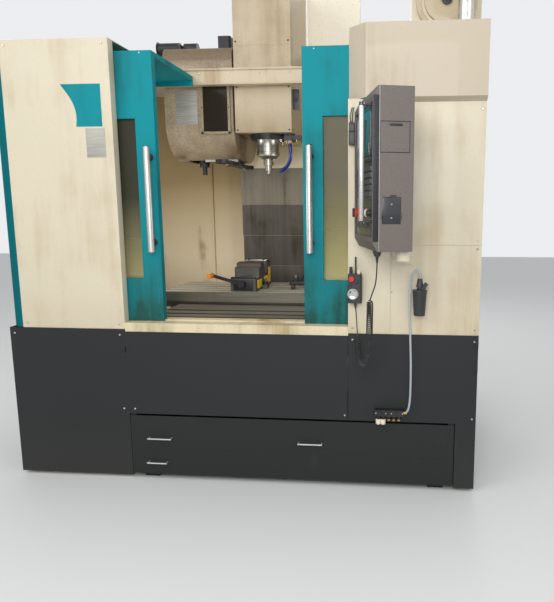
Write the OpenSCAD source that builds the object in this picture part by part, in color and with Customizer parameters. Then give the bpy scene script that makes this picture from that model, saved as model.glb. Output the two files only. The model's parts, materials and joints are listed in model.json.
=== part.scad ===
/* [Enclosure] */
// Width over the two side walls
machine_w = 2450; // [2300:10:2600]
// Left edge of the front opening, left of the middle
opening_left = 589; // [560:1:600]
// Right edge of the front opening, right of the middle
opening_right = 578; // [560:1:590]
// Top of the left housing
left_top = 2259; // [2240:1:2280]
// Top of the right housing
right_top = 2286; // [2270:1:2300]
// Line between the light upper panels and the dark skirts
skirt_top = 826; // [815:1:830]
// Underside of the dark skirts, above the tanks
skirt_low = 366; // [360:1:380]
// Thickness of the enclosure sheet
sheet_t = 3; // [2:0.5:4]
// Depth of the enclosure, front plane to rear wall
chamber_d = 1450; // [1448:1:1460]
// Width of the rounded corner trim
trim_r = 77; // [60:1:80]
// Gap between neighbouring panels
panel_gap = 3; // [2:0.5:4]
/* [Hood] */
// How far the upper right hood stands proud of the panel
hood_proud = 30; // [20:1:35]
// Underside of the hood
hood_low = 1956; // [1950:1:1965]
// Side of the bevelled corner of the hood
hood_bevel = 85; // [80:1:86]
/* [Doors] */
// Front face of the doors behind the front plane
door_y = 60; // [58:1:64]
// Thickness of a door
door_t = 40; // [30:1:44]
// Width of a door
door_w = 655; // [640:1:665]
// Top of the doors
door_top = 2212; // [2200:1:2216]
// Underside of the doors
door_low = 858; // [857:1:860]
// Leading edge of the left door at rest, left of the middle
left_lead = 400; // [390:1:410]
// Leading edge of the right door at rest, right of the middle
right_lead = 348; // [340:1:360]
// Depth of the roof part of a door
door_roof_d = 578; // [560:1:579]
// Window sill in a door
window_low = 1083; // [1060:1:1100]
// Window head in a door
window_top = 1889; // [1870:1:1900]
// Distance from a door's leading edge to its window
window_in = 100; // [90:1:110]
// Outside diameter of the door grips
grip_d = 32; // [28:1:34]
/* [Machine] */
// Spindle axis behind the front plane
spindle_y = 830; // [826:1:834]
// Face of the spindle nose at rest
nose_z = 1764; // [1760:1:1768]
// Top of the work table
table_top = 940; // [936:1:944]
// Length of the work table
table_l = 1050; // [1000:10:1050]
// Middle of the table at rest, left of the spindle
table_left = 100; // [90:5:100]
// Width of the work table
table_w = 500; // [480:2:504]
// Top of the bed
bed_top = 600; // [600:1:602]
// Front face of the column
column_y = 1430; // [1428:1:1432]
// Width of the column
column_w = 660; // [650:2:664]
// Top of the column
column_top = 2500; // [2450:5:2550]
// Section of the guide rails
rail_w = 45; // [40:1:46]
// Working gap at sliding faces
slide_gap = 0.3; // [0.3:0.05:0.5]
// Stroke of the saddle each way
saddle_travel = 250; // [230:1:250]
/* [Tool changer] */
// Distance of the magazine cover from the spindle axis
magazine_near = 185; // [183:1:190]
// Width of the magazine
magazine_w = 425; // [415:1:430]
// Height of the magazine axis
magazine_z = 2090; // [2085:1:2095]
// Number of tool pots on the carousel
pots = 16; // [12:1:16]
// Outer diameter of a tool pot
pot_d = 70; // [60:1:72]
// Pitch radius of the pots
pot_ring = 215; // [210:1:218]
// Sideways distance from the spindle axis to the change position
change_x = 470; // [468:1:472]
/* [Operator panel] */
// Width of the panel housing
panel_w = 420; // [400:1:424]
// Thickness of the panel housing
panel_t = 170; // [160:1:175]
// Underside of the panel housing
panel_low = 1267; // [1262:1:1270]
// Top of the panel housing
panel_top = 1923; // [1900:1:1930]
// Angle of the panel at rest from square to the front
panel_turn = 14.5; // [14:0.5:15]
/* [Tanks] */
// Depth of the chip drawer and the coolant tank
tank_d = 500; // [450:5:505]
// Right end of the tanks, right of the middle
tank_right = 1119; // [1110:1:1122]
// Line between drawer and tank
tank_split = 174; // [170:1:180]
/* [Rear] */
// Rear face of the electrical cabinet
rear_y = 2500; // [2480:5:2520]
// Width of the electrical cabinet
cabinet_w = 1240; // [1100:10:1300]
/* [Hidden] */
half_w = machine_w / 2;
front_reach = 470;
switch_h = 26;
bar_u = 20;
bar_v = 42;
bar_d = 20;
ca = cos(panel_turn);
sa = sin(panel_turn);
mid_y = (rear_y + switch_h - front_reach + ca * bar_u - sa * bar_v - bar_d / 2) / 2;
seam = 1;
wall_x = half_w - sheet_t;
pot_y = spindle_y + 172;
hub_x = -change_x / 2;
hub_y = (spindle_y + pot_y) / 2;
arm_r = sqrt(pow(change_x, 2) + pow(pot_y - spindle_y, 2)) / 2;
rail_y0 = 340;
saddle_y = spindle_y - table_w / 2 + 10;
saddle_d = table_w - 20;
saddle_half = 620;
x_rail_top = 830;
z_rail_x = 230;
z_rail_d = 40;
cover_front = column_y - 80;
head_low = 1897;
head_top = 2850;
head_half = 172;
head_front = 710;
header_y = door_y + door_roof_d + 2;
front_cover_l = 200;
front_cover_z = 862;
plate_pitch = sheet_t + slide_gap;
tunnel_half = 262;
panel_x = 720;
panel_y = -front_reach;
pivot_u = 75;
pivot_v = 150;
tank_low = 18;

module placed() {
    translate([0, -mid_y, 0]) children();
}

module block(low, high) {
    translate(low) cube([high[0] - low[0], high[1] - low[1], high[2] - low[2]]);
}

module both_sides() {
    children();
    mirror([1, 0, 0]) children();
}

module side_profile(x0, x1, points) {
    translate([x0, 0, 0]) rotate([90, 0, 90]) linear_extrude(x1 - x0) polygon(points);
}

module rounded_block(size, r) {
    linear_extrude(size[2]) translate([r, r])
        offset(r = r, $fn = 32) square([size[0] - 2 * r, size[1] - 2 * r]);
}

module rod_x(x0, x1, y, z, d) {
    translate([x0, y, z]) rotate([0, 90, 0]) cylinder(d = d, h = x1 - x0, $fn = 48);
}

module rod_y(x, y0, y1, z, d) {
    translate([x, y1, z]) rotate([90, 0, 0]) cylinder(d = d, h = y1 - y0, $fn = 48);
}

module rod_z(x, y, z0, z1, d) {
    translate([x, y, z0]) cylinder(d = d, h = z1 - z0, $fn = 48);
}

// Machine bed: profile along the side, pocketed ribs, two raised ways
bed_half = 520;
way_x = 300;
module bed() color("DimGray") placed() {
    difference() {
        side_profile(-bed_half, bed_half, [[tank_d + 30, 130], [2060, 130], [2060, bed_top],
            [column_y - 60, bed_top], [column_y - 60, bed_top - 60], [150, bed_top - 60],
            [150, skirt_low + 20], [tank_d + 30, skirt_low + 20]]);
        both_sides() for (i = [0 : 3]) block([bed_half - 60, 600 + i * 370, 180],
            [bed_half + 1, 900 + i * 370, bed_top - 110]);
        block([-200, 149, bed_top - 120], [200, column_y - 120, bed_top + 1]);
    }
    both_sides() block([way_x - 60, 300, bed_top - 60], [way_x + 60, column_y - 60, bed_top]);
}

// Screw feet with pads and lock nuts
module leveling_feet() color("Gray") placed()
    both_sides() for (y = [620, 1300, 1980]) {
        rod_z(430, y, 0, 28, 130);
        rod_z(430, y, 28, 130, 42);
        translate([430, y, 96]) cylinder(d = 80, h = 34, $fn = 6);
    }

// Hollow box column with a tunnel through its foot for the rear way cover
module column() color("WhiteSmoke") placed()
    difference() {
        side_profile(-column_w / 2, column_w / 2, [[column_y, bed_top], [2060, bed_top],
            [2060, 900], [1900, column_top], [column_y, column_top]]);
        block([-column_w / 2 + 60, column_y + 60, 900], [column_w / 2 - 60, 1840, column_top + 1]);
        block([-tunnel_half, column_y - 1, 780], [tunnel_half, 2061, 836]);
    }

// Linear guide rails of the bed and of the column
module guide_rails() color("Silver") placed() {
    both_sides() block([way_x - rail_w / 2, rail_y0, bed_top], [way_x + rail_w / 2, column_y - 70,
        bed_top + rail_w]);
    both_sides() block([z_rail_x - z_rail_d / 2, column_y - z_rail_d, 900],
        [z_rail_x + z_rail_d / 2, column_y, column_top - 60]);
}

// Ball screws with their servo motors for the saddle and the head
module feed_drives() color("DarkSlateGray") placed() {
    rod_y(0, 190, column_y - 130, bed_top - 30, 40);
    block([-65, 152, bed_top - 120], [65, 190, bed_top + 35]);
    block([-55, column_y - 160, bed_top - 120], [55, column_y - 120, bed_top + 20]);
    rod_z(0, column_y - 22, 900, column_top + 20, 32);
    block([-50, column_y - 44, 880], [50, column_y, 920]);
    block([-90, column_y - 60, column_top], [90, column_y + 120, column_top + 30]);
    translate([-75, column_y - 44, column_top + 30]) rounded_block([150, 150, 220], 18);
}

// Dark skirt under the left panel and the opening, folded round the left side
module front_skirt() color([0.16, 0.18, 0.2]) placed() {
    translate([0, sheet_t, 0]) rotate([90, 0, 0]) linear_extrude(sheet_t)
        polygon([[-half_w, tank_low], [-opening_left - panel_gap, tank_low],
            [-opening_left - panel_gap, skirt_low], [opening_right - panel_gap, skirt_low],
            [opening_right - panel_gap, sill_low], [-opening_left - panel_gap, sill_low],
            [-opening_left - panel_gap, skirt_top - panel_gap], [-half_w, skirt_top - panel_gap]]);
    block([-half_w, sheet_t, tank_low], [-wall_x, chamber_d, skirt_top - panel_gap]);
    block([-opening_left - panel_gap - sheet_t, sheet_t, tank_low],
        [-opening_left - panel_gap, 60, skirt_low]);
    block([-opening_left, sheet_t, skirt_low], [opening_right - panel_gap, 60, skirt_low + sheet_t]);
}

// Dark skirt of the right side with its narrow foot
module right_skirt() color([0.16, 0.18, 0.2]) placed() {
    translate([0, sheet_t, 0]) rotate([90, 0, 0]) linear_extrude(sheet_t)
        polygon([[opening_right, skirt_low], [tank_right + panel_gap, skirt_low],
            [tank_right + panel_gap, tank_low], [half_w, tank_low],
            [half_w, skirt_top - panel_gap], [opening_right, skirt_top - panel_gap]]);
    block([wall_x, sheet_t, tank_low], [half_w, chamber_d, skirt_top - panel_gap]);
    block([tank_right + panel_gap, sheet_t, tank_low],
        [tank_right + panel_gap + sheet_t, 60, skirt_low]);
    block([opening_right, sheet_t, skirt_low], [tank_right, 60, skirt_low + sheet_t]);
}

// Sill under the doors with the guide ridge and the fixed front way cover
sill_top = door_low - slide_gap;
sill_low = sill_top - 46;
ridge_y = door_y + 12;
module sill() color([0.85, 0.82, 0.72]) placed() {
    side_profile(-opening_left, opening_right, [[0, sill_low], [sheet_t, sill_low],
        [sheet_t, sill_top - sheet_t], [108, sill_top - sheet_t], [108, skirt_top - 60],
        [111, skirt_top - 60], [111, sill_top], [ridge_y + 3, sill_top], [ridge_y + 3, sill_top + 8],
        [ridge_y, sill_top + 8], [ridge_y, sill_top], [0, sill_top]]);
    block([-bed_half, 111, front_cover_z - sheet_t - 3 * plate_pitch],
        [bed_half, 312, front_cover_z - 3 * plate_pitch]);
}

// Left housing: front panel, inner flange, roof and side wall in one folded shell
module left_housing() color([0.93, 0.9, 0.82]) placed() {
    block([-half_w + trim_r, 0, skirt_top], [-opening_left, sheet_t, left_top]);
    block([-opening_left - sheet_t, sheet_t, skirt_top], [-opening_left, 50, left_top - sheet_t]);
    block([-half_w, trim_r, skirt_top], [-wall_x, chamber_d, left_top]);
    difference() {
        block([-wall_x, sheet_t, left_top - sheet_t], [-opening_left - 30, chamber_d, left_top]);
        translate([-half_w, 0, left_top - 2 * sheet_t]) cube([trim_r, trim_r, 3 * sheet_t]);
    }
    block([-opening_left - 30, sheet_t, left_top - sheet_t], [-opening_left, 600, left_top]);
    block([-half_w + trim_r, sheet_t, skirt_top - 30], [-opening_left - sheet_t - 4, 2 * sheet_t,
        skirt_top + 1]);
}

// Rounded corner strip between the front and the left side
module corner_trim() color([0.1, 0.5, 0.52]) placed()
    translate([-half_w + trim_r, trim_r, skirt_top]) intersection() {
        difference() {
            cylinder(r = trim_r, h = left_top - skirt_top, $fn = 96);
            translate([0, 0, -1]) cylinder(r = trim_r - sheet_t,
                h = left_top - skirt_top - sheet_t + 1, $fn = 96);
        }
        translate([-trim_r, -trim_r, 0]) cube([trim_r, trim_r, left_top]);
    }

// Lower right housing: front panels with their seams and the side wall
right_seam_z = 1268;
right_seam_x = 787;
module right_housing() color([0.9, 0.86, 0.76]) placed() {
    block([opening_right, 0, right_seam_z + seam], [half_w, sheet_t, hood_low]);
    block([opening_right, 0, skirt_top], [right_seam_x, sheet_t, right_seam_z - seam]);
    block([right_seam_x + 2, 0, skirt_top], [half_w, sheet_t, right_seam_z - seam]);
    block([opening_right, sheet_t, right_seam_z - 20], [wall_x, 2 * sheet_t, right_seam_z + 20]);
    block([right_seam_x - 20, sheet_t, skirt_top], [right_seam_x + 20, 2 * sheet_t, right_seam_z - 20]);
    block([opening_right, sheet_t, skirt_top], [opening_right + sheet_t, 50, hood_low]);
    block([wall_x, sheet_t, skirt_top], [half_w, chamber_d, hood_low]);
    block([832, -panel_reach, panel_low - 44], [868, 0, panel_low - 14]);
    block([800, -12, panel_low - 90], [900, 0, panel_low + 20]);
    translate([pivot[0], pivot[1], panel_low - 44]) cylinder(d = 62, h = 44 - slide_gap, $fn = 48);
    translate([pivot[0], pivot[1], panel_low - 1]) cylinder(d = 30, h = 38, $fn = 64);
    block([opening_right + 1, sheet_t, skirt_top - 30], [half_w - 6, 2 * sheet_t, skirt_top + 1]);
    block([628, -40, 1128.3], [640, 0, 1134]);
    block([628, -44, 1128.3], [640, -40, 1150]);
}
pivot = [panel_x - sa * pivot_u + ca * pivot_v, panel_y + ca * pivot_u + sa * pivot_v];
panel_reach = -pivot[1];

// Upper right hood with the bevelled corner and the sloped lower lip
module right_hood() color([0.9, 0.86, 0.76]) placed() {
    difference() {
        translate([0, 0, hood_low]) linear_extrude(right_top - hood_low)
            polygon([[opening_right, hood_bevel - hood_proud], [opening_right + hood_bevel, -hood_proud],
                [half_w, -hood_proud], [half_w, chamber_d], [opening_right, chamber_d]]);
        translate([0, 0, hood_low - 1]) linear_extrude(right_top - hood_low + 1 - sheet_t)
            polygon([[opening_right - 1, hood_bevel - hood_proud + sheet_t],
                [opening_right + hood_bevel + 1, -hood_proud + sheet_t],
                [wall_x, -hood_proud + sheet_t], [wall_x, chamber_d + 1], [opening_right - 1,
                    chamber_d + 1]]);
    }
    side_profile(opening_right + hood_bevel, half_w, [[-slide_gap, hood_low - 20],
        [-hood_proud, hood_low], [-slide_gap, hood_low]]);
}

// Two-step beam over the opening that carries the door rails
module header_beam() color([0.91, 0.87, 0.76]) placed() {
    side_profile(-wall_x, wall_x, [[header_y, 2164], [header_y + 50, 2164], [header_y + 50, 2252],
        [header_y + 8, 2252], [header_y + 8, 2243], [header_y, 2243]]);
    side_profile(-wall_x, opening_right - 2, [[header_y - 6, 2243], [header_y + 8, 2243],
        [header_y + 8, 2252],
        [header_y + 8, left_top - 4], [header_y - 6, left_top - 4]]);
}

// Rear wall of the chamber with standing seams and the lowest fixed column cover
module rear_wall() color([0.8, 0.76, 0.66]) placed() {
    difference() {
        both_sides() block([column_w / 2, chamber_d - 4, bed_top], [wall_x, chamber_d - 1, left_top - 4]);
        block([-430, chamber_d - 5, 1890], [-column_w / 2 + 1, chamber_d, 2390]);
    }
    both_sides() block([565, chamber_d - 16, bed_top], [568, chamber_d - 4, left_top - 4]);
    block([column_w / 2 + 6, chamber_d - 130, nose_z - 40], [534, chamber_d - 127, head_top]);
    block([head_half + 6, chamber_d - 130, column_top - 40], [column_w / 2 + 6, chamber_d - 127, head_top]);
    block([column_w / 2 + 6, chamber_d - 127, nose_z - 40], [column_w / 2 + 9, chamber_d - 4, head_top]);
    block([531, chamber_d - 127, nose_z - 40], [534, chamber_d - 4, head_top]);
    z_shield(3);
    both_sides() block([shield_x(3) - sheet_t, column_y - 61, shield_z(3) - shield_h],
        [shield_x(3), column_y, shield_z(3)]);
}

// Roof-mounted mist collector: rounded case, round front ring and four star knobs
mist = [872, 300, 350];
module mist_collector() color([0.92, 0.9, 0.84]) placed() {
    translate([mist[0], mist[1] + mist[2], right_top]) rotate([90, 0, 0])
        rounded_block([mist[2], mist[2] + 20, mist[2]], 40);
    for (ring = [[150, 16], [108, 30]])
        translate([mist[0] + mist[2] / 2, mist[1], right_top + mist[2] / 2 + 10])
            rotate([90, 0, 0]) cylinder(r = ring[0], h = ring[1], $fn = 96);
    for (sx = [45, mist[2] - 45], sz = [45, mist[2] - 25])
        translate([mist[0] + sx, mist[1], right_top + sz]) rotate([90, 0, 0])
            cylinder(d = 34, h = 26, $fn = 8);
}

module duct_pipe() color("Silver") placed() {
    rod_z(1137, 200, right_top, right_top + 330, 72);
    rod_z(1137, 200, right_top, right_top + 12, 110);
    rod_z(1137, 200, right_top + 330, right_top + 345, 84);
}

// Electrical cabinet behind the column, open to its rear door
cab_y = 2080;
cab_low = 560;
cab_top = 2180;
gland_x = cabinet_w / 2 - 200;
gland_y = cab_y + 120;
module electrical_cabinet() color([0.9, 0.87, 0.78]) placed() {
    difference() {
        block([-cabinet_w / 2, cab_y, cab_low], [cabinet_w / 2, rear_y - 24, cab_top]);
        block([-cabinet_w / 2 + sheet_t, cab_y + sheet_t, cab_low + sheet_t],
            [cabinet_w / 2 - sheet_t, rear_y - 23, cab_top - sheet_t]);
        block([gland_x - 80, gland_y - 50, cab_low - 1], [gland_x + 80, gland_y + 50, cab_low + 10]);
    }
    difference() {
        block([gland_x - 100, gland_y - 70, cab_low - 6.3], [gland_x + 100, gland_y + 70, cab_low - 0.3]);
        rod_z(gland_x, gland_y, cab_low - 7, cab_low + 1, 63);
    }
    block([-cabinet_w / 2 + 60, cab_y + sheet_t, cab_low + 100],
        [cabinet_w / 2 - 60, cab_y + 22, cab_top - 80]);
    for (i = [0 : 3], j = [0 : 2]) block([-500 + i * 260, cab_y + 22, 800 + j * 420],
        [-300 + i * 260, cab_y + 170 - j * 20, 1080 + j * 420]);
    both_sides() block([200, 2060, bed_top + 20], [280, cab_y, 860]);
}

module cabinet_door() color([0.9, 0.87, 0.78]) placed() {
    difference() {
        block([-cabinet_w / 2, rear_y - 23.7, cab_low], [cabinet_w / 2, rear_y, cab_top]);
        block([-cabinet_w / 2 + sheet_t, rear_y - 24, cab_low + sheet_t],
            [cabinet_w / 2 - sheet_t, rear_y - sheet_t, cab_top - sheet_t]);
        rod_y(-420, rear_y - 10, rear_y + 1, 1500, 24.1);
        for (i = [0 : 7]) block([60, rear_y - 10, 760 + i * 26], [440, rear_y + 1, 770 + i * 26]);
    }
    for (z = [700, 1330, 1960]) rod_z(cabinet_w / 2, rear_y, z, z + 90, 14);
}

module main_switch() color("Black") placed() {
    rod_y(-420, rear_y - 20, rear_y - 0, 1500, 24);
    rod_y(-420, rear_y + 0.3, rear_y + 12, 1500, 60);
    block([-428, rear_y + 12, 1465], [-412, rear_y + switch_h, 1535]);
    rod_y(-420, rear_y - 1, rear_y + 1, 1500, 24);
}

// Air manifold with five hose couplings
port_x = [734, 758, 787, 812, 838];
module manifold() color([0.15, 0.17, 0.25]) placed() {
    difference() {
        block([715, -34, 404], [862, 0, 437]);
        for (x = port_x) rod_z(x, -18, 400, 425, 14);
    }
    for (x = port_x) {
        rod_z(x, -18, 396, 425, 13.9);
        translate([x, -18, 388]) cylinder(d = 21, h = 14, $fn = 6);
    }
}

// Wash gun in its black cup
module wash_gun() color([0.1, 0.1, 0.11]) placed() {
    difference() {
        union() {
            translate([930, -46, 930]) cylinder(d1 = 54, d2 = 70, h = 124, $fn = 48);
            block([905, -14, 936], [955, 0, 1048]);
        }
        translate([930, -46, 938]) cylinder(d1 = 42, d2 = 60, h = 117, $fn = 48);
    }
    rod_z(930, -46, 938.3, 1070, 26);
    translate([930, -46, 1070]) cylinder(d1 = 34, d2 = 22, h = 40, $fn = 32);
    translate([930, -46, 1040]) rotate([0, 35, 0]) translate([-9, -9, 0]) cube([18, 18, 58]);
}

// Magazine shell: rounded side profile, window and bottom opening
mag_x1 = -magazine_near;
mag_x0 = mag_x1 - magazine_w;
mag_y0 = 715;
mag_y1 = 1290;
mag_low = 1742;
mag_top = 2400;
mag_window = [175, 1905, 2185];
module magazine_outline(inset) {
    r = 230 - inset;
    hull() {
        translate([mag_y0 + inset + r, mag_low + inset + r]) circle(r = r, $fn = 64);
        translate([mag_y1 - inset - r, mag_low + inset + r]) circle(r = r, $fn = 64);
        translate([mag_y0 + inset + 60, mag_top - inset - 60]) circle(r = 60, $fn = 32);
        translate([mag_y1 - inset - 60, mag_top - inset - 60]) circle(r = 60, $fn = 32);
    }
}
module magazine_slab(x0, x1, inset) {
    translate([x0, 0, 0]) rotate([90, 0, 90]) linear_extrude(x1 - x0) magazine_outline(inset);
}
module magazine_cover() color([0.82, 0.78, 0.68]) placed() {
    difference() {
        magazine_slab(mag_x0, mag_x1, 0);
        magazine_slab(mag_x0 + 4, mag_x1 - 4, 4);
        block([mag_x1 - mag_window[0] - 10, mag_y0 - 1, mag_window[1]],
            [mag_x1 - 30, mag_y0 + 10, mag_window[2]]);
        block([mag_x0 + 70, pot_y - 110, mag_low - 1], [mag_x1 - 110, pot_y + 110, mag_low + 30]);
        rod_z(hub_x, hub_y, mag_low - 1, mag_low + 20, shaft_d + 12);
    }
    block([mag_x1 - 238, 876, mag_low - 4], [mag_x1 - 23, 880, mag_low + 33]);
}

module magazine_window() color([0.2, 0.22, 0.24, 0.6]) placed()
    block([mag_x1 - mag_window[0] - 24, mag_y0 - 7, mag_window[1] - 14],
        [mag_x1 - 16, mag_y0, mag_window[2] + 14]);

// Magazine frame: mounting plate, carousel shaft, drive, hanging pot and the cam box
carousel_x = mag_x1 - 180;
shaft_d = 60;
flange_z = nose_z - 30;
module magazine_frame() color([0.55, 0.52, 0.47]) placed() {
    block([mag_x0 + 20, mag_y1, 1860], [mag_x1 - 40, mag_y1 + 12, 2380]);
    block([-420, mag_y1 + 12, 1900], [-column_w / 2, 1560, 2380]);
    block([mag_x1 - 40, pot_y - 40, magazine_z - 40], [mag_x1 - 10, mag_y1 - 4, magazine_z + 40]);
    rod_x(carousel_x, mag_x1 - 40, pot_y, magazine_z, 39.9);
    translate([mag_x0 + 30, pot_y - 130, mag_top]) rounded_block([30, 150, 55], 8);
    rod_x(mag_x0 - 95, mag_x0 + 30, pot_y - 60, mag_top + 42, 80);
    rod_x(mag_x0 + 60, mag_x0 + 145, pot_y - 60, mag_top + 42, 70);
    translate([mag_x1 - 137, pot_y - 110, mag_top]) rounded_block([80, 110, 105], 12);
    difference() {
        union() {
            block([hub_x - 46, hub_y - 46, nose_z + 12], [mag_x1 - 4, pot_y + 160, nose_z + 196]);
            block([mag_x1 - 40, pot_y + 90, nose_z + 190], [mag_x1 - 10, pot_y + 160, magazine_z]);
        }
        rod_z(hub_x, hub_y, nose_z + 11, nose_z + 180, shaft_d + 0.1);
    }
    rod_z(-change_x, pot_y, flange_z + 1.5, nose_z + 55, pot_d);
    rod_z(-change_x, pot_y, flange_z - 1, flange_z + 1.2, 44);
    rod_z(-change_x, pot_y, flange_z - 20, flange_z, 63);
    rod_z(-change_x, pot_y, flange_z - 70, flange_z - 20, 30);
    block([-change_x + 30, pot_y - 10, nose_z + 30], [hub_x - 46, pot_y + 10, nose_z + 44]);
}

// Carousel disc with its ring of pots and tools; the lowest place is empty
module tool_carousel() color([0.35, 0.36, 0.38]) placed()
    translate([0, pot_y, magazine_z]) {
        difference() {
            union() {
                rotate([0, 90, 0]) translate([0, 0, carousel_x + 35]) cylinder(r = pot_ring + 20,
                    h = 14, $fn = 96);
                rod_x(carousel_x, carousel_x + 49, 0, 0, 110);
            }
            rod_x(carousel_x - 1, carousel_x + 60, 0, 0, 40);
        }
        for (i = [1 : pots - 1]) rotate([i * 360 / pots, 0, 0]) translate([0, 0, -pot_ring]) {
            rod_x(carousel_x - 59, carousel_x + 35, 0, 0, pot_d);
            rod_x(carousel_x - 85, carousel_x - 59, 0, 0, 60);
            rod_x(carousel_x - 139 - 12 * (i % 3), carousel_x - 85, 0, 0, 26 + 6 * (i % 4));
        }
    }

module atc_shaft() color("Silver") placed()
    rod_z(hub_x, hub_y, flange_z + slide_gap, nose_z + 175, shaft_d);

// Double-ended tool change arm with open claws
claw_r = 52;
module claw(a) {
    rotate([0, 0, a]) translate([arm_r, 0, 0]) difference() {
        cylinder(r = claw_r, h = 22, $fn = 64);
        translate([0, 0, -1]) cylinder(d = 74, h = 24, $fn = 64);
        translate([-38, 0, -1]) cube([72, claw_r + 10, 24]);
    }
}
module atc_arm() color([0.12, 0.12, 0.13]) placed()
    translate([hub_x, hub_y, flange_z - 22]) {
        cylinder(d = 110, h = 22, $fn = 64);
        for (a = [-90, 90]) {
            claw(a);
            rotate([0, 0, a]) translate([0, -30, 0]) cube([arm_r - 33.5, 60, 22]);
        }
    }

// Doors: pan with a roof part and a window opening
module door_pan(lead, side) {
    x0 = side < 0 ? lead - door_w : lead;
    x1 = x0 + door_w;
    w0 = side < 0 ? x1 - window_in - 360 : x0 + window_in;
    translate([0, door_y + door_t, 0]) rotate([90, 0, 0]) linear_extrude(door_t) difference() {
        translate([x0, door_low]) square([door_w, door_top - door_low]);
        translate([w0, window_low]) square([360, window_top - window_low]);
    }
    block([x0, door_y + door_t, door_top - 26], [x1, door_y + door_roof_d, door_top - 22]);
    block([x0, door_y + door_t, door_top - 26], [x0 + 4, door_y + door_roof_d, door_top]);
    block([x1 - 4, door_y + door_t, door_top - 26], [x1, door_y + door_roof_d, door_top]);
    block([x0, door_y + door_roof_d - 6, door_top - 56], [x1, door_y + door_roof_d, door_top]);
}
module door_guide(lead, side) {
    difference() {
        door_pan(lead, side);
        block([-half_w, ridge_y - 1, door_low - 1], [half_w, ridge_y + 4, door_low + 8]);
    }
}
module door_glass(lead, side) {
    x = side < 0 ? lead - window_in - 360 : lead + window_in;
    block([x + 0.3, door_y + 16, window_low + 0.3], [x + 359.7, door_y + 22, window_top - 0.3]);
}
grip_low = 1222;
grip_top = 1748;
module door_grip(x) {
    rod_z(x, door_y - 46, grip_low, grip_top, grip_d);
    for (z = [grip_low + 50, grip_top - 50]) rod_y(x, door_y - 46, door_y, z, 20);
}
module left_door() color([0.08, 0.5, 0.52]) placed() door_guide(-left_lead, -1);
module left_window() color([0.7, 0.75, 0.6, 0.4]) placed() door_glass(-left_lead, -1);
module left_handle() color("Silver") placed() door_grip(-left_lead - 30);
module right_door() color([0.08, 0.5, 0.52]) placed() door_guide(right_lead, 1);
module right_window() color([0.7, 0.75, 0.6, 0.4]) placed() door_glass(right_lead, 1);
module right_handle() color("Silver") placed() door_grip(right_lead + 38);

// Saddle on the bed rails with the cross rails, front apron and rear cover
module saddle() color([0.5, 0.5, 0.5]) placed() {
    difference() {
        union() {
            block([-saddle_half, saddle_y, 700], [saddle_half, saddle_y + saddle_d, x_rail_top - 40]);
            both_sides() for (y = [saddle_y + 30, saddle_y + saddle_d - 150])
                block([way_x - 55, y, bed_top + 12], [way_x + 55, y + 120, 701]);
        }
        both_sides() block([way_x - rail_w / 2 - slide_gap, saddle_y, bed_top],
            [way_x + rail_w / 2 + slide_gap, saddle_y + saddle_d, bed_top + rail_w + slide_gap]);
    }
    for (y = [spindle_y - 140, spindle_y + 140]) block([-saddle_half + 5, y - 20, x_rail_top - 40],
        [saddle_half - 5, y + 20, x_rail_top]);
    block([-bed_half, saddle_y - 5, 700], [bed_half, saddle_y, front_cover_z]);
    block([-bed_half, saddle_y - front_cover_l, front_cover_z - 3], [bed_half, saddle_y - 5,
        front_cover_z]);
    block([-250, saddle_y + saddle_d, 800], [250, saddle_y + saddle_d + 600, 803]);
    block([-250, saddle_y + saddle_d, 760], [250, saddle_y + saddle_d + 4, 803]);
}

// Telescopic front way covers
module front_plate(i) {
    y1 = saddle_y - i * (front_cover_l - 24 - saddle_travel / 3);
    block([-bed_half, y1 - front_cover_l, front_cover_z - sheet_t - plate_pitch * i],
        [bed_half, y1, front_cover_z - plate_pitch * i]);
}
module front_cover_b() color([0.55, 0.56, 0.55]) placed() front_plate(1);
module front_cover_c() color([0.55, 0.56, 0.55]) placed() front_plate(2);

// Work table with five T-slots and four rail carriages
slot_pitch = 90;
table_y = spindle_y - table_w / 2;
table_x0 = -table_left - table_l / 2;
table_x1 = table_l / 2 - table_left;
function slot_outline(y) = [[y - 9, table_top + 1], [y - 9, table_top - 18], [y - 15, table_top - 18],
    [y - 15, table_top - 30], [y + 15, table_top - 30], [y + 15, table_top - 18],
    [y + 9, table_top - 18], [y + 9, table_top + 1]];
module table() color([0.62, 0.62, 0.6]) placed() {
    difference() {
        side_profile(table_x0, table_x1, [[table_y, table_top - 60], [table_y, table_top],
            [table_y + table_w, table_top], [table_y + table_w, table_top - 60],
            [table_y + table_w - 40, table_top - 100], [table_y + 40, table_top - 100]]);
        for (i = [-2 : 2]) side_profile(table_x0 - 1, table_x1 + 1,
            slot_outline(spindle_y + i * slot_pitch));
        side_profile(table_x0 - 1, table_x1 + 1, [[table_y + 180, table_top - 101],
            [table_y + 180, table_top - 70], [table_y + table_w - 180, table_top - 70],
            [table_y + table_w - 180, table_top - 101]]);
    }
    for (x = [-190 - table_left, 90 - table_left], y = [spindle_y - 140, spindle_y + 140]) difference() {
        block([x, y - 45, x_rail_top - 30], [x + 100, y + 45, table_top - 99]);
        block([x - 1, y - 20 - slide_gap, x_rail_top - 31], [x + 101, y + 20 + slide_gap,
            x_rail_top + slide_gap]);
    }
}

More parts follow.
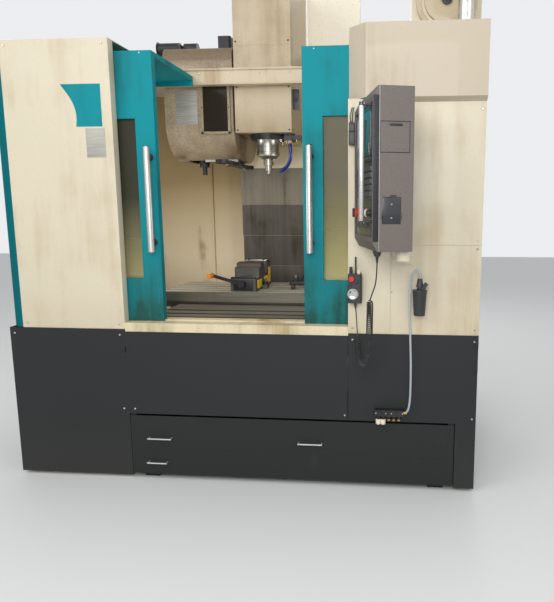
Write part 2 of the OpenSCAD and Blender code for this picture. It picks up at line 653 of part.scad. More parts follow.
// Machine vise: base with fixed jaw, sliding jaw and screw with crank
vise_x = -122;
vise_half = 78;
vise_y0 = table_y + 20;
vise_y1 = vise_y0 + 415;
vise_bed = table_top + 80;
vise_top = table_top + 165;
screw_z = table_top + 50;
screw_d = 24;
crank_l = 200;
module both_sides_of(x) {
    translate([x, 0, 0]) children();
    translate([x, 0, 0]) mirror([1, 0, 0]) children();
}
module vise_base() color([0.4, 0.4, 0.4]) placed() {
    difference() {
        block([vise_x - vise_half, vise_y0, table_top], [vise_x + vise_half, vise_y1, vise_bed]);
        block([vise_x - 34, vise_y0 + 30, table_top + 22], [vise_x + 34, vise_y1 - 110, vise_bed + 1]);
        rod_y(vise_x, vise_y0 - 1, vise_y0 + 31, screw_z, screw_d + 0.1);
    }
    block([vise_x - vise_half, vise_y1 - 100, vise_bed - 1], [vise_x + vise_half, vise_y1 - 20, vise_top]);
    block([vise_x - vise_half + 2, vise_y1 - 116, vise_bed + 2], [vise_x + vise_half - 2,
        vise_y1 - 100, vise_top - 2]);
    both_sides_of(vise_x) block([vise_half, vise_y0 + 150, table_top], [vise_half + 38,
        vise_y0 + 210, table_top + 26]);
}
module vise_jaw() color([0.45, 0.45, 0.45]) placed() {
    difference() {
        block([vise_x - vise_half, vise_y0 + 96, vise_bed + slide_gap], [vise_x + vise_half,
            vise_y0 + 210, vise_top - 4]);
        block([vise_x - vise_half - 1, vise_y0 + 95, vise_top - 26], [vise_x + vise_half + 1,
            vise_y0 + 140, vise_top]);
    }
    block([vise_x - vise_half + 2, vise_y0 + 210, vise_bed + 2], [vise_x + vise_half - 2,
        vise_y0 + 226, vise_top - 2]);
    difference() {
        block([vise_x - 33, vise_y0 + 110, table_top + 24], [vise_x + 33, vise_y0 + 196, vise_bed + 1]);
        rod_y(vise_x, vise_y0 + 100, vise_y0 + 200, screw_z, screw_d + 0.1);
    }
}
module vise_crank() color([0.35, 0.35, 0.36]) placed() {
    rod_y(vise_x, vise_y0 - 40, vise_y1 - 112, screw_z, screw_d);
    rod_y(vise_x, vise_y0 - 46, vise_y0 - 14, screw_z, 40);
    translate([vise_x, vise_y0 - 30, screw_z]) rotate([0, -74, 0]) {
        translate([-9, -8, 0]) cube([18, 16, crank_l]);
        translate([0, 8, crank_l - 10]) rotate([90, 0, 0]) cylinder(d = 26, h = 70, $fn = 32);
    }
}

// Head casting: slide plate, web and spindle barrel
head_bore = 110;
barrel_d = 136;
module head() color([0.62, 0.6, 0.55]) placed() {
    difference() {
        union() {
            block([-290, column_y - 90, head_low - 167], [290, column_y - 45, 2330]);
            side_profile(-135, 135, [[spindle_y, head_low + 40], [column_y - 89, head_low - 20],
                [column_y - 89, 2330], [spindle_y + 60, 2330], [spindle_y, 2280]]);
            rod_z(0, spindle_y, head_low - 15, 2360, 216);
            rod_z(0, spindle_y, head_low - 30, head_low - 15, 205);
            rod_z(0, spindle_y, nose_z + 3, head_low - 30, barrel_d);
            both_sides() for (z = [head_low - 150, 2190])
                block([z_rail_x - 48, column_y - 46, z], [z_rail_x + 48, column_y - 8, z + 120]);
            block([-50, column_y - 46, 2050], [50, column_y - 6, 2150]);
        }
        rod_z(0, spindle_y, nose_z + 2, 2361, head_bore);
        both_sides() block([z_rail_x - z_rail_d / 2 - slide_gap, column_y - z_rail_d - slide_gap, 1000],
            [z_rail_x + z_rail_d / 2 + slide_gap, column_y + 1, 2500]);
        rod_z(0, column_y - 22, 2040, 2160, 33);
    }
    difference() {
        rod_z(0, spindle_y, 2360, 2700, 190);
        rod_z(0, spindle_y, 2359, 2480, head_bore);
    }
}

module head_cover() color([0.9, 0.87, 0.78]) placed() {
    difference() {
        block([-head_half, head_front, head_low], [head_half, column_y - 92, head_top]);
        block([-head_half + sheet_t, head_front + sheet_t, head_low + sheet_t],
            [head_half - sheet_t, column_y - 91, head_top - sheet_t]);
        rod_z(0, spindle_y, head_low - 1, head_low + 4, 218);
        block([-137, spindle_y, head_low - 1], [137, column_y - 91, head_low + 4]);
    }
    block([head_half, head_front + 30, 2034], [head_half + 42, head_front + 90, 2146]);
}

// Coolant and air fittings under the head with the jointed hose
module coolant_hose() color([0.12, 0.12, 0.35]) placed() {
    block([112, spindle_y - 60, head_low - 40], [160, spindle_y + 60, head_low]);
    block([160, spindle_y - 50, head_low - 34], [214, spindle_y - 14, head_low - 10]);
    difference() {
        rod_z(0, spindle_y, head_low - 34, head_low - 15.3, 250);
        rod_z(0, spindle_y, head_low - 35, head_low - 15, 212);
        block([-130, spindle_y - 130, head_low - 36], [50, spindle_y + 130, head_low - 15]);
    }
    for (i = [0 : len(hose_path) - 2]) hull() {
        translate(hose_path[i]) sphere(d = 20, $fn = 12);
        translate(hose_path[i + 1]) sphere(d = 17, $fn = 12);
    }
}
hose_path = [[141, 800, 1860], [146, 780, 1825], [152, 765, 1780], [148, 765, 1735], [126, 775,
    1700], [96, 790, 1680]];

// Telescopic covers of the column, each one folded a plate inside the one above
shield_h = 245;
shield_lap = 23;
function shield_x(i) = 325 - plate_pitch * i;
function shield_z(i) = head_low - 182 - i * (shield_h - shield_lap);
module z_shield(i) {
    y = cover_front + plate_pitch * i;
    block([-shield_x(i), y, shield_z(i) - shield_h], [shield_x(i), y + sheet_t, shield_z(i)]);
    both_sides() block([shield_x(i) - sheet_t, y + sheet_t, shield_z(i) - shield_h],
        [shield_x(i), column_y - 60, shield_z(i)]);
}
module z_cover_1() color([0.6, 0.6, 0.57]) placed() {
    z_shield(0);
    block([-285, cover_front + 3, head_low - 190], [285, column_y - 60, head_low - 182]);
    block([-280, column_y - 88, head_low - 182], [280, column_y - 60, head_low - 167]);
}
module z_cover_2() color([0.58, 0.58, 0.56]) placed() z_shield(1);
module z_cover_3() color([0.58, 0.58, 0.56]) placed() z_shield(2);

// Spindle with its nose cap and the tool holder with a short mill
module spindle() color("Silver") placed() {
    difference() {
        union() {
            rod_z(0, spindle_y, nose_z, 2450, head_bore - 0.1);
            translate([0, spindle_y, nose_z - 14]) cylinder(d1 = 88, d2 = 130, h = 16.7, $fn = 64);
        }
        translate([0, spindle_y, nose_z - 1]) cylinder(d1 = 45, d2 = 25.6, h = 66, $fn = 48);
        rod_z(0, spindle_y, nose_z - 15, nose_z, 51);
    }
    both_sides() block([27, spindle_y - 8, nose_z - 20], [42, spindle_y + 8, nose_z - 13]);
}
module cutter() color([0.75, 0.75, 0.76]) placed() {
    translate([0, spindle_y, nose_z]) cylinder(d1 = 44.4, d2 = 25.2, h = 64, $fn = 48);
    rod_z(0, spindle_y, flange_z, nose_z, 50);
    rod_z(0, spindle_y, flange_z - 8, flange_z, 63);
    rod_z(0, spindle_y, flange_z - 13, flange_z - 8, 54);
    rod_z(0, spindle_y, flange_z - 21, flange_z - 13, 63);
    rod_z(0, spindle_y, flange_z - 58, flange_z - 21, 42);
    rod_z(0, spindle_y, flange_z - 74, flange_z - 58, 20);
}

// Operator panel, drawn along its own face and turned to its rest angle
module on_panel() {
    translate([panel_x, panel_y, 0]) rotate([0, 0, 90 + panel_turn]) mirror([0, 1, 0]) children();
}
face_h = panel_top - panel_low;
module panel_shell() color([0.36, 0.32, 0.36]) placed() on_panel() difference() {
    union() {
        rotate([90, 0, 90]) linear_extrude(panel_w)
            polygon([[0, panel_low + 40], [22, panel_low], [panel_t, panel_low], [panel_t, panel_top],
                [22, panel_top], [0, panel_top - 40]]);
        translate([60, 34, panel_low - 22]) cylinder(d = 26, h = 22.1, $fn = 32);
    }
    translate([10, -1, panel_low + 60]) cube([panel_w - 20, 15, face_h - 120]);
    translate([pivot_u, pivot_v, panel_low - 2]) cylinder(d = 30.1, h = 40, $fn = 64);
    translate([-1, 30, 1667]) cube([5, panel_t - 50, 118]);
    translate([-1, 40, 1380]) cube([7, panel_t - 90, 110]);
    for (i = [0 : 3]) translate([80 + i * 70, panel_t - 4, panel_low + 90]) cube([12, 5, 200]);
}

// Screen in the upper face with key field and grab bar below and in front
estop_u = 250;
estop_z = 1425;
module panel_screen() color([0.1, 0.12, 0.13]) placed() on_panel() {
    translate([14, 4, 1640]) cube([panel_w - 28, 9.9, panel_top - 60.3 - 1640]);
    difference() {
        translate([14, 6, panel_low + 60.3]) cube([panel_w - 28, 7.9, 1636 - panel_low - 60]);
        translate([estop_u, 5, estop_z]) rotate([-90, 0, 0]) cylinder(d = 22.6, h = 7.3, $fn = 48);
    }
    for (i = [0 : 11], j = [0 : 4]) translate([54 + i * 28, 2, 1494 + j * 26]) cube([20, 4.1, 18]);
    for (i = [0 : 7]) translate([120 + i * 34, 2, 1360]) cube([22, 4.1, 22]);
    for (z = [1390, 1850]) translate([bar_u, -bar_v, z]) rotate([-90, 0, 0]) cylinder(d = 11,
        h = bar_v + 7, $fn = 24);
    translate([bar_u, -bar_v, 1380]) cylinder(d = bar_d, h = 480, $fn = 32);
}
module panel_estop() color("Red") placed() on_panel() translate([estop_u, 0, estop_z]) rotate([90, 0, 0]) {
    translate([0, 0, 10]) cylinder(d = 40, h = 16, $fn = 48);
    translate([0, 0, -6.5]) cylinder(d = 22, h = 17, $fn = 48);
}
knob_u = 350;
module panel_knob() color("Black") placed() on_panel() translate([knob_u, 0, estop_z]) rotate([90, 0, 0]) {
    translate([0, 0, -5.7]) cylinder(d = 34, h = 24, $fn = 48);
    translate([-4, -20, 10]) cube([8, 40, 12]);
}
module panel_hatch() color([0.34, 0.3, 0.34]) placed() on_panel() {
    difference() {
        translate([0, 30.3, 1667.3]) cube([3.7, panel_t - 50.6, 117.4]);
        translate([-1, 60, 1772]) cube([3, 60, 8]);
    }
    translate([-2, panel_t - 40, 1680]) rotate([0, 90, 0]) cylinder(d = 8, h = 3, $fn = 24);
}

// Chip drawer above the coolant tank: open trays behind flat fronts
module tray(z0, z1, t) {
    difference() {
        block([-opening_left, -seam, z0], [tank_right - 1, tank_d, z1]);
        block([-opening_left + t, t, z0 + t], [tank_right - 1 - t, tank_d - t, z1 + 1]);
    }
}
module bail(x, z, w) {
    rod_y(x - w / 2, -26, 0, z, 8);
    rod_y(x + w / 2, -26, 0, z, 8);
    rod_x(x - w / 2 - 4, x + w / 2 + 4, -26, z, 8);
}
module chip_drawer() color([0.17, 0.19, 0.22]) placed() {
    tray(tank_split + slide_gap, 356, sheet_t);
    for (x = [-opening_left, tank_right - 31]) block([x, 5, 350], [x + 30, tank_d, skirt_low - slide_gap]);
    for (x = [-425, 380]) bail(x, 236, 120);
}
module coolant_tank() color([0.17, 0.19, 0.22]) placed() {
    tray(tank_low + 12, tank_split, sheet_t);
    bail(-445, 100, 100);
    for (x = [-500, 1030], y = [60, tank_d - 60]) block([x - 40, y - 25, 0], [x + 40, y + 25,
        tank_low + 12]);
}

// Pulse handset hanging on its hook, with its hand wheel and stop button
module handset() color([0.13, 0.13, 0.14]) placed() {
    difference() {
        translate([581, -50, 985]) rounded_block([67, 42, 143], 10);
        rod_y(606, -51, -40, 1030, 14.1);
        rod_y(600, -51, -35, 1106, 12.4);
    }
    rod_z(618, -30, 1128, 1212, 9);
    rod_z(595, -30, 1128, 1146, 18);
}
module handset_wheel() color("Silver") placed() {
    rod_y(606, -62, -50.3, 1030, 44);
    rod_y(606, -51, -40.3, 1030, 14);
    rod_y(594, -78, -62, 1042, 9);
}
module handset_estop() color("Red") placed() {
    rod_y(600, -68, -56, 1106, 26);
    rod_y(600, -57, -40.3, 1106, 12);
}

// Cords: swept along hand-chosen points
function unit(v) = v / norm(v);
function tangent(p, i) = unit(p[min(i + 1, len(p) - 1)] - p[max(i - 1, 0)]);
function turned(n, t) = unit(n - (n * t) * t);
function normals(p, n0) = [for (i = 0, n = turned(n0, tangent(p, 0)); i < len(p);
    i = i + 1, n = i < len(p) ? turned(n, tangent(p, i)) : n) n];
function spline(p, i, t) = let (a = p[max(i - 1, 0)], b = p[i], c = p[i + 1], d = p[min(i + 2, len(p) - 1)])
    0.5 * (2 * b + (c - a) * t + (2 * a - 5 * b + 4 * c - d) * t * t + (3 * b - a - 3 * c + d) * t * t * t);
function smooth(p, n) = concat([for (i = [0 : len(p) - 2], k = [0 : n - 1]) spline(p, i, k / n)],
    [p[len(p) - 1]]);
module tube(p, r, sides) {
    ns = normals(p, [1, 0, 0]);
    rings = [for (i = [0 : len(p) - 1], s = [0 : sides - 1]) let (t = tangent(p, i), n = ns[i],
        b = cross(t, n),
        a = 360 * s / sides) p[i] + r * (cos(a) * n + sin(a) * b)];
    last = (len(p) - 1) * sides;
    polyhedron(points = rings, faces = concat([[for (s = [0 : sides - 1]) s]],
        [for (i = [0 : len(p) - 2], s = [0 : sides - 1]) let (q = (s + 1) % sides, o = i * sides)
            [o + q, o + s, o + sides + s, o + sides + q]],
        [[for (s = [sides - 1 : -1 : 0]) last + s]]));
}
cord_d = 5.5;
coil_d = 31;
cord_route = [[738, -403, 1244.6], [737, -402, 1190], [732, -397, 1130], [718, -388, 1085], [708.1,
    -380.4, 1056.9]];
coil_route = [[708, -380, 1056], [706, -362, 972], [703, -332, 885], [697, -294, 800], [684, -250, 742],
    [666, -208, 722], [649, -164, 732], [637, -122, 770], [631, -88, 826]];
tail_route = [[631, -87.6, 826.9], [628, -66, 870], [622, -44, 926], [616, -32.1, 984.4]];
module handset_cord() color("Black") placed() {
    tube(smooth(cord_route, 3), cord_d / 2, 8);
    tube(smooth(tail_route, 3), cord_d / 2, 8);
}
module handset_coil() color([0.1, 0.1, 0.1]) placed() tube(smooth(coil_route, 2), coil_d / 2, 12);

bed();
leveling_feet();
column();
guide_rails();
feed_drives();
front_skirt();
right_skirt();
sill();
left_housing();
corner_trim();
right_housing();
right_hood();
header_beam();
rear_wall();
mist_collector();
duct_pipe();
electrical_cabinet();
cabinet_door();
main_switch();
manifold();
wash_gun();
magazine_cover();
magazine_window();
magazine_frame();
tool_carousel();
atc_shaft();
atc_arm();
left_door();
left_window();
left_handle();
right_door();
right_window();
right_handle();
saddle();
front_cover_b();
front_cover_c();
table();
vise_base();
vise_jaw();
vise_crank();
head();
head_cover();
coolant_hose();
z_cover_1();
z_cover_2();
z_cover_3();
spindle();
cutter();
panel_shell();
panel_screen();
panel_estop();
panel_knob();
panel_hatch();
chip_drawer();
coolant_tank();
handset();
handset_wheel();
handset_estop();
handset_cord();
handset_coil();
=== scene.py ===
import json
import math

import bmesh
import bpy
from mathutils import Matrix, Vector


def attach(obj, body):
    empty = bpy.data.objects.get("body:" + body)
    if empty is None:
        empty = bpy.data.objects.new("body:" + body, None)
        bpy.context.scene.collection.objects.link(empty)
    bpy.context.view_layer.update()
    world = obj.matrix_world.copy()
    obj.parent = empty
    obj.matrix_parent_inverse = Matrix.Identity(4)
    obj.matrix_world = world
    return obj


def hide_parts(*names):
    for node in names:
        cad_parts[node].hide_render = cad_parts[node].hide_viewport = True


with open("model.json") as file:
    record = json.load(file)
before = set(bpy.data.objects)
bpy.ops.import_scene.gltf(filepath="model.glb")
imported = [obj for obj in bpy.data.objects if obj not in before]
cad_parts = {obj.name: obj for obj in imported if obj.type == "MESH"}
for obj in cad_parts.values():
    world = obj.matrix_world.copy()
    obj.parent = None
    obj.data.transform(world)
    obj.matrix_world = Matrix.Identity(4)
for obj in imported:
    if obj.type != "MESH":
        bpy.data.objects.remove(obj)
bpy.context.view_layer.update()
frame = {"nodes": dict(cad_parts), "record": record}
FRONT = 1.0274235      # distance from the part's middle to the front plane of the panels


def at(x, y, z):
    """A point given in millimetres, with y counted from the front plane."""
    return Vector((x / 1000, y / 1000 - FRONT, z / 1000))


# ---------------------------------------------------------------- camera
lens = bpy.data.cameras.new("camera")
camera = bpy.data.objects.new("camera", lens)
bpy.context.collection.objects.link(camera)
camera.location = (0.842, -3.8684, 1.443)
camera.rotation_euler = (math.radians(80.95), 0, math.radians(5.16))
lens.sensor_width = 36
lens.lens = 34.66
lens.shift_x = -0.1206
bpy.context.scene.camera = camera


# ---------------------------------------------------------------- shared effects
class Nodes:
    """Short calls for making nodes in one tree."""

    def __init__(self, tree):
        self.tree = tree

    def add(self, kind, **values):
        node = self.tree.nodes.new(kind)
        for key, value in values.items():
            setattr(node, key, value)
        return node

    def join(self, a, b):
        self.tree.links.new(a, b)

    def math(self, op, a, b=None, clamp=False):
        node = self.add("ShaderNodeMath", operation=op, use_clamp=clamp)
        for slot, value in enumerate((a, b)):
            if value is None:
                continue
            if isinstance(value, (int, float)):
                node.inputs[slot].default_value = value
            else:
                self.join(value, node.inputs[slot])
        return node.outputs[0]

    def noise(self, where, scale, detail=4, rough=0.55):
        node = self.add("ShaderNodeTexNoise")
        node.inputs["Detail"].default_value = detail
        node.inputs["Roughness"].default_value = rough
        self.join(where, node.inputs["Vector"])
        if isinstance(scale, (int, float)):
            node.inputs["Scale"].default_value = scale
        else:
            self.join(scale, node.inputs["Scale"])
        return node.outputs["Fac"]

    def stretched(self, where, x, y, z):
        node = self.add("ShaderNodeMapping")
        node.inputs["Scale"].default_value = (x, y, z)
        self.join(where, node.inputs["Vector"])
        return node.outputs["Vector"]

    def between(self, value, low, high):
        node = self.add("ShaderNodeMapRange")
        node.interpolation_type = "SMOOTHSTEP"
        for name, end in (("From Min", low), ("From Max", high)):
            if isinstance(end, (int, float)):
                node.inputs[name].default_value = end
            else:
                self.join(end, node.inputs[name])
        self.join(value, node.inputs["Value"])
        return node.outputs["Result"]

    def blend(self, fac, a, b):
        node = self.add("ShaderNodeMix", data_type="RGBA")
        for slot, value in ((0, fac), (6, a), (7, b)):
            if isinstance(value, tuple):
                node.inputs[slot].default_value = (*value, 1)
            elif isinstance(value, (int, float)):
                node.inputs[slot].default_value = value
            else:
                self.join(value, node.inputs[slot])
        return node.outputs[2]


def effect(name, inputs, outputs):
    group = bpy.data.node_groups.new(name, "ShaderNodeTree")
    for label, value in inputs:
        socket = group.interface.new_socket(label, in_out="INPUT", socket_type="NodeSocketFloat")
        socket.default_value = value
    for label in outputs:
        group.interface.new_socket(label, in_out="OUTPUT", socket_type="NodeSocketFloat")
    n = Nodes(group)
    return n, n.add("NodeGroupInput"), n.add("NodeGroupOutput")


def make_grime():
    """Oil and coolant stains: runs that follow gravity, over soft patches."""
    n, given, result = effect("oil_grime", [("Patch Size", 3.0), ("Run Size", 14.0), ("Spread", 0.5)],
                              ["Stain", "Speckle"])
    place = n.add("ShaderNodeTexCoord").outputs["Object"]
    runs = n.noise(n.stretched(place, 1, 1, 0.09), given.outputs["Run Size"], 5, 0.6)
    patches = n.noise(place, given.outputs["Patch Size"], 5, 0.6)
    both = n.math("ADD", n.math("MULTIPLY", runs, 0.5), n.math("MULTIPLY", patches, 0.5))
    low = n.math("SUBTRACT", 0.78, n.math("MULTIPLY", given.outputs["Spread"], 0.5))
    high = n.math("ADD", low, 0.22)
    n.join(n.between(both, low, high), result.inputs["Stain"])
    fine = n.noise(place, 160, 2, 0.7)
    n.join(n.between(fine, 0.6, 0.75), result.inputs["Speckle"])
    return n.tree


def make_brushing():
    """Fine lines left by grinding, along the part's X."""
    n, given, result = effect("ground_lines", [("Fineness", 260.0), ("Upright", 0.0)], ["Lines"])
    place = n.add("ShaderNodeTexCoord").outputs["Object"]
    level = n.noise(n.stretched(place, 0.03, 1, 1), given.outputs["Fineness"], 3)
    upright = n.noise(n.stretched(place, 1, 1, 0.03), given.outputs["Fineness"], 3)
    mixed = n.math("ADD", n.math("MULTIPLY", upright, given.outputs["Upright"]),
                   n.math("MULTIPLY", level, n.math("SUBTRACT", 1, given.outputs["Upright"])))
    n.join(mixed, result.inputs["Lines"])
    return n.tree


def make_level():
    """How far a point lies below a height, for dirt and painted shade low down, and for stains and painted
    light high up.
    """
    n, given, result = effect("below_height", [("Height", 1.0), ("Fade", 0.3)], ["Amount"])
    place = n.add("ShaderNodeTexCoord").outputs["Object"]
    split = n.add("ShaderNodeSeparateXYZ")
    n.join(place, split.inputs[0])
    depth = n.math("SUBTRACT", given.outputs["Height"], split.outputs["Z"])
    n.join(n.math("DIVIDE", depth, given.outputs["Fade"], clamp=True), result.inputs["Amount"])
    return n.tree


grime, brushing, level = make_grime(), make_brushing(), make_level()


def use(n, group, **values):
    """One of the shared effects, with its inputs set by name."""
    node = n.add("ShaderNodeGroup", node_tree=group)
    for key, value in values.items():
        node.inputs[key.replace("_", " ").title()].default_value = value
    return node


def new_material(name):
    material = bpy.data.materials.new(name)
    material.use_nodes = True
    n = Nodes(material.node_tree)
    shader = next(x for x in n.tree.nodes if x.type == "BSDF_PRINCIPLED")
    return material, n, shader


def bump(n, shader, height, strength, distance):
    node = n.add("ShaderNodeBump")
    node.inputs["Strength"].default_value = strength
    node.inputs["Distance"].default_value = distance
    n.join(height, node.inputs["Height"])
    n.join(node.outputs["Normal"], shader.inputs["Normal"])


def paint(name, colour, stain, rough=0.42, patch=2.4, run=13, spread=0.35, peel=0.12, low=None, coat=0.0,
          speckle=0.25, shine=0.5, dust=0.0, high=None, steel_before=None, pitting=0.0, clean_and_lit_above=None):
    """Sprayed paint with orange peel, oil stains, speckles, pits and dust.

    low and high give height, fade and amount for darkening below or above a height: dirt, and for the
    magazine's lower part also painted shade. Above the last argument's height the paint is free of stains and
    painted pale, as painted light brighter than its own colour. What stands before steel_before, such as a
    drawer's pull, is bare steel.
    """
    material, n, shader = new_material(name)
    dirt = use(n, grime, patch_size=patch, run_size=run, spread=spread)
    place = n.add("ShaderNodeTexCoord").outputs["Object"]
    stains = dirt.outputs["Stain"]
    if low:
        # Below the height the paint darkens towards the stain colour: dirt, and on the magazine also painted
        # shade.
        foot = use(n, level, height=low[0], fade=low[1])
        darker_below = n.math("MULTIPLY", foot.outputs["Amount"], n.math("ADD", stains, low[2]))
        stains = n.math("MAXIMUM", n.math("MULTIPLY", stains, 0.6), darker_below, clamp=True)
    if high:
        roof = use(n, level, height=high[0], fade=high[1])
        above = n.math("MULTIPLY", n.math("SUBTRACT", 1, roof.outputs["Amount"]), high[2])
        stains = n.math("MAXIMUM", stains, above)
    deeper = tuple(c * 0.88 for c in colour)
    tint = n.blend(n.noise(place, 1.7, 3), colour, deeper)
    # Above the height the stains are taken out and the tint turns pale: painted light, brighter than the
    # paint's own colour, on paint that lies in shade.
    if clean_and_lit_above:
        clean_and_lit = use(n, level, height=clean_and_lit_above + 0.08, fade=0.08)
        stains = n.math("MULTIPLY", stains, clean_and_lit.outputs["Amount"])
        tint = n.blend(clean_and_lit.outputs["Amount"], (0.95, 0.88, 0.73), tint)
    dirty = n.blend(stains, tint, stain)
    if dust:
        facing = n.add("ShaderNodeSeparateXYZ")
        n.join(n.add("ShaderNodeNewGeometry").outputs["Normal"], facing.inputs[0])
        top = n.math("MULTIPLY", n.between(facing.outputs["Z"], 0.6, 0.9), dust)
        dirty = n.blend(top, dirty, (0.17, 0.13, 0.085))
    dots = n.math("MULTIPLY", dirt.outputs["Speckle"], speckle)
    if pitting:
        pits = n.math("MULTIPLY", n.between(n.noise(place, 190, 3, 0.75), 0.47, 0.6), pitting)
        dots = n.math("MAXIMUM", dots, pits)
    shown = n.blend(dots, dirty, tuple(c * 0.45 for c in stain))
    if steel_before is not None:
        split = n.add("ShaderNodeSeparateXYZ")
        n.join(place, split.inputs[0])
        pulls = n.math("LESS_THAN", split.outputs["Y"], steel_before)
        shown = n.blend(pulls, shown, (0.5, 0.5, 0.47))
        n.join(n.math("MULTIPLY", pulls, 0.7), shader.inputs["Metallic"])
    n.join(shown, shader.inputs["Base Color"])
    gloss = n.math("ADD", n.math("MULTIPLY", stains, 0.22), rough)
    n.join(n.math("ADD", gloss, n.math("MULTIPLY", n.noise(place, 30, 3), 0.1)), shader.inputs["Roughness"])
    bump(n, shader, n.noise(place, 420, 2), peel, 0.0006)
    shader.inputs["Coat Weight"].default_value = coat
    shader.inputs["Specular IOR Level"].default_value = shine
    return material


def ground_metal(name, colour, stain, rough=0.34, upright=0.0, spread=0.4, metallic=0.85, lines=0.25,
                 fineness=240):
    """Ground or brushed metal with grinding lines and dried coolant."""
    material, n, shader = new_material(name)
    dirt = use(n, grime, patch_size=4, run_size=20, spread=spread)
    brush = use(n, brushing, fineness=fineness, upright=upright)
    line = n.between(brush.outputs["Lines"], 0.3, 0.7)
    light = n.blend(line, tuple(c * 0.75 for c in colour), colour)
    n.join(n.blend(dirt.outputs["Stain"], light, stain), shader.inputs["Base Color"])
    gloss = n.math("ADD", n.math("MULTIPLY", dirt.outputs["Stain"], 0.3), rough)
    n.join(n.math("ADD", gloss, n.math("MULTIPLY", line, 0.12)), shader.inputs["Roughness"])
    bump(n, shader, line, lines, 0.0004)
    shader.inputs["Metallic"].default_value = metallic
    return material


def casting(name, colour, stain, rough=0.6, grain=90, depth=0.5, metallic=0.25):
    """Cast or moulded surface with a coarse skin."""
    material, n, shader = new_material(name)
    place = n.add("ShaderNodeTexCoord").outputs["Object"]
    dirt = use(n, grime, patch_size=5, run_size=16, spread=0.5)
    skin = n.noise(place, grain, 4, 0.65)
    tint = n.blend(n.between(skin, 0.3, 0.7), tuple(c * 0.7 for c in colour), colour)
    n.join(n.blend(dirt.outputs["Stain"], tint, stain), shader.inputs["Base Color"])
    n.join(n.math("ADD", rough, n.math("MULTIPLY", skin, 0.15)), shader.inputs["Roughness"])
    bump(n, shader, skin, depth, 0.0008)
    shader.inputs["Metallic"].default_value = metallic
    return material


def moulded(name, colour, rough=0.45, depth=0.2, coat=0.0, dust=0.25):
    """Moulded plastic or rubber with a fine texture and some dust."""
    material, n, shader = new_material(name)
    place = n.add("ShaderNodeTexCoord").outputs["Object"]
    dirt = use(n, grime, patch_size=9, run_size=25, spread=0.35)
    fine = n.noise(place, 700, 2)
    dusty = n.math("MULTIPLY", dirt.outputs["Stain"], dust)
    tint = n.blend(n.between(fine, 0.35, 0.65), colour, tuple(min(1, c * 1.35 + 0.004) for c in colour))
    n.join(n.blend(dusty, tint, (0.3, 0.27, 0.2)), shader.inputs["Base Color"])
    n.join(n.math("ADD", rough, n.math("MULTIPLY", dusty, 0.4)), shader.inputs["Roughness"])
    bump(n, shader, fine, depth, 0.0003)
    shader.inputs["Coat Weight"].default_value = coat
    return material


def window_sheet(name, colour, stain, clear=0.9, spread=0.5, low=None):
    """Clear sheet clouded by dried coolant, more so below the height given by low."""
    material, n, shader = new_material(name)
    dirt = use(n, grime, patch_size=3, run_size=17, spread=spread)
    film = dirt.outputs["Stain"]
    if low:
        foot = use(n, level, height=low[0], fade=low[1])
        film = n.math("MAXIMUM", film, n.math("MULTIPLY", foot.outputs["Amount"], low[2]), clamp=True)
    n.join(n.blend(film, colour, stain), shader.inputs["Base Color"])
    n.join(n.math("ADD", 0.12, n.math("MULTIPLY", film, 0.35)), shader.inputs["Roughness"])
    shader.inputs["Transmission Weight"].default_value = clear
    shader.inputs["IOR"].default_value = 1.2
    return material


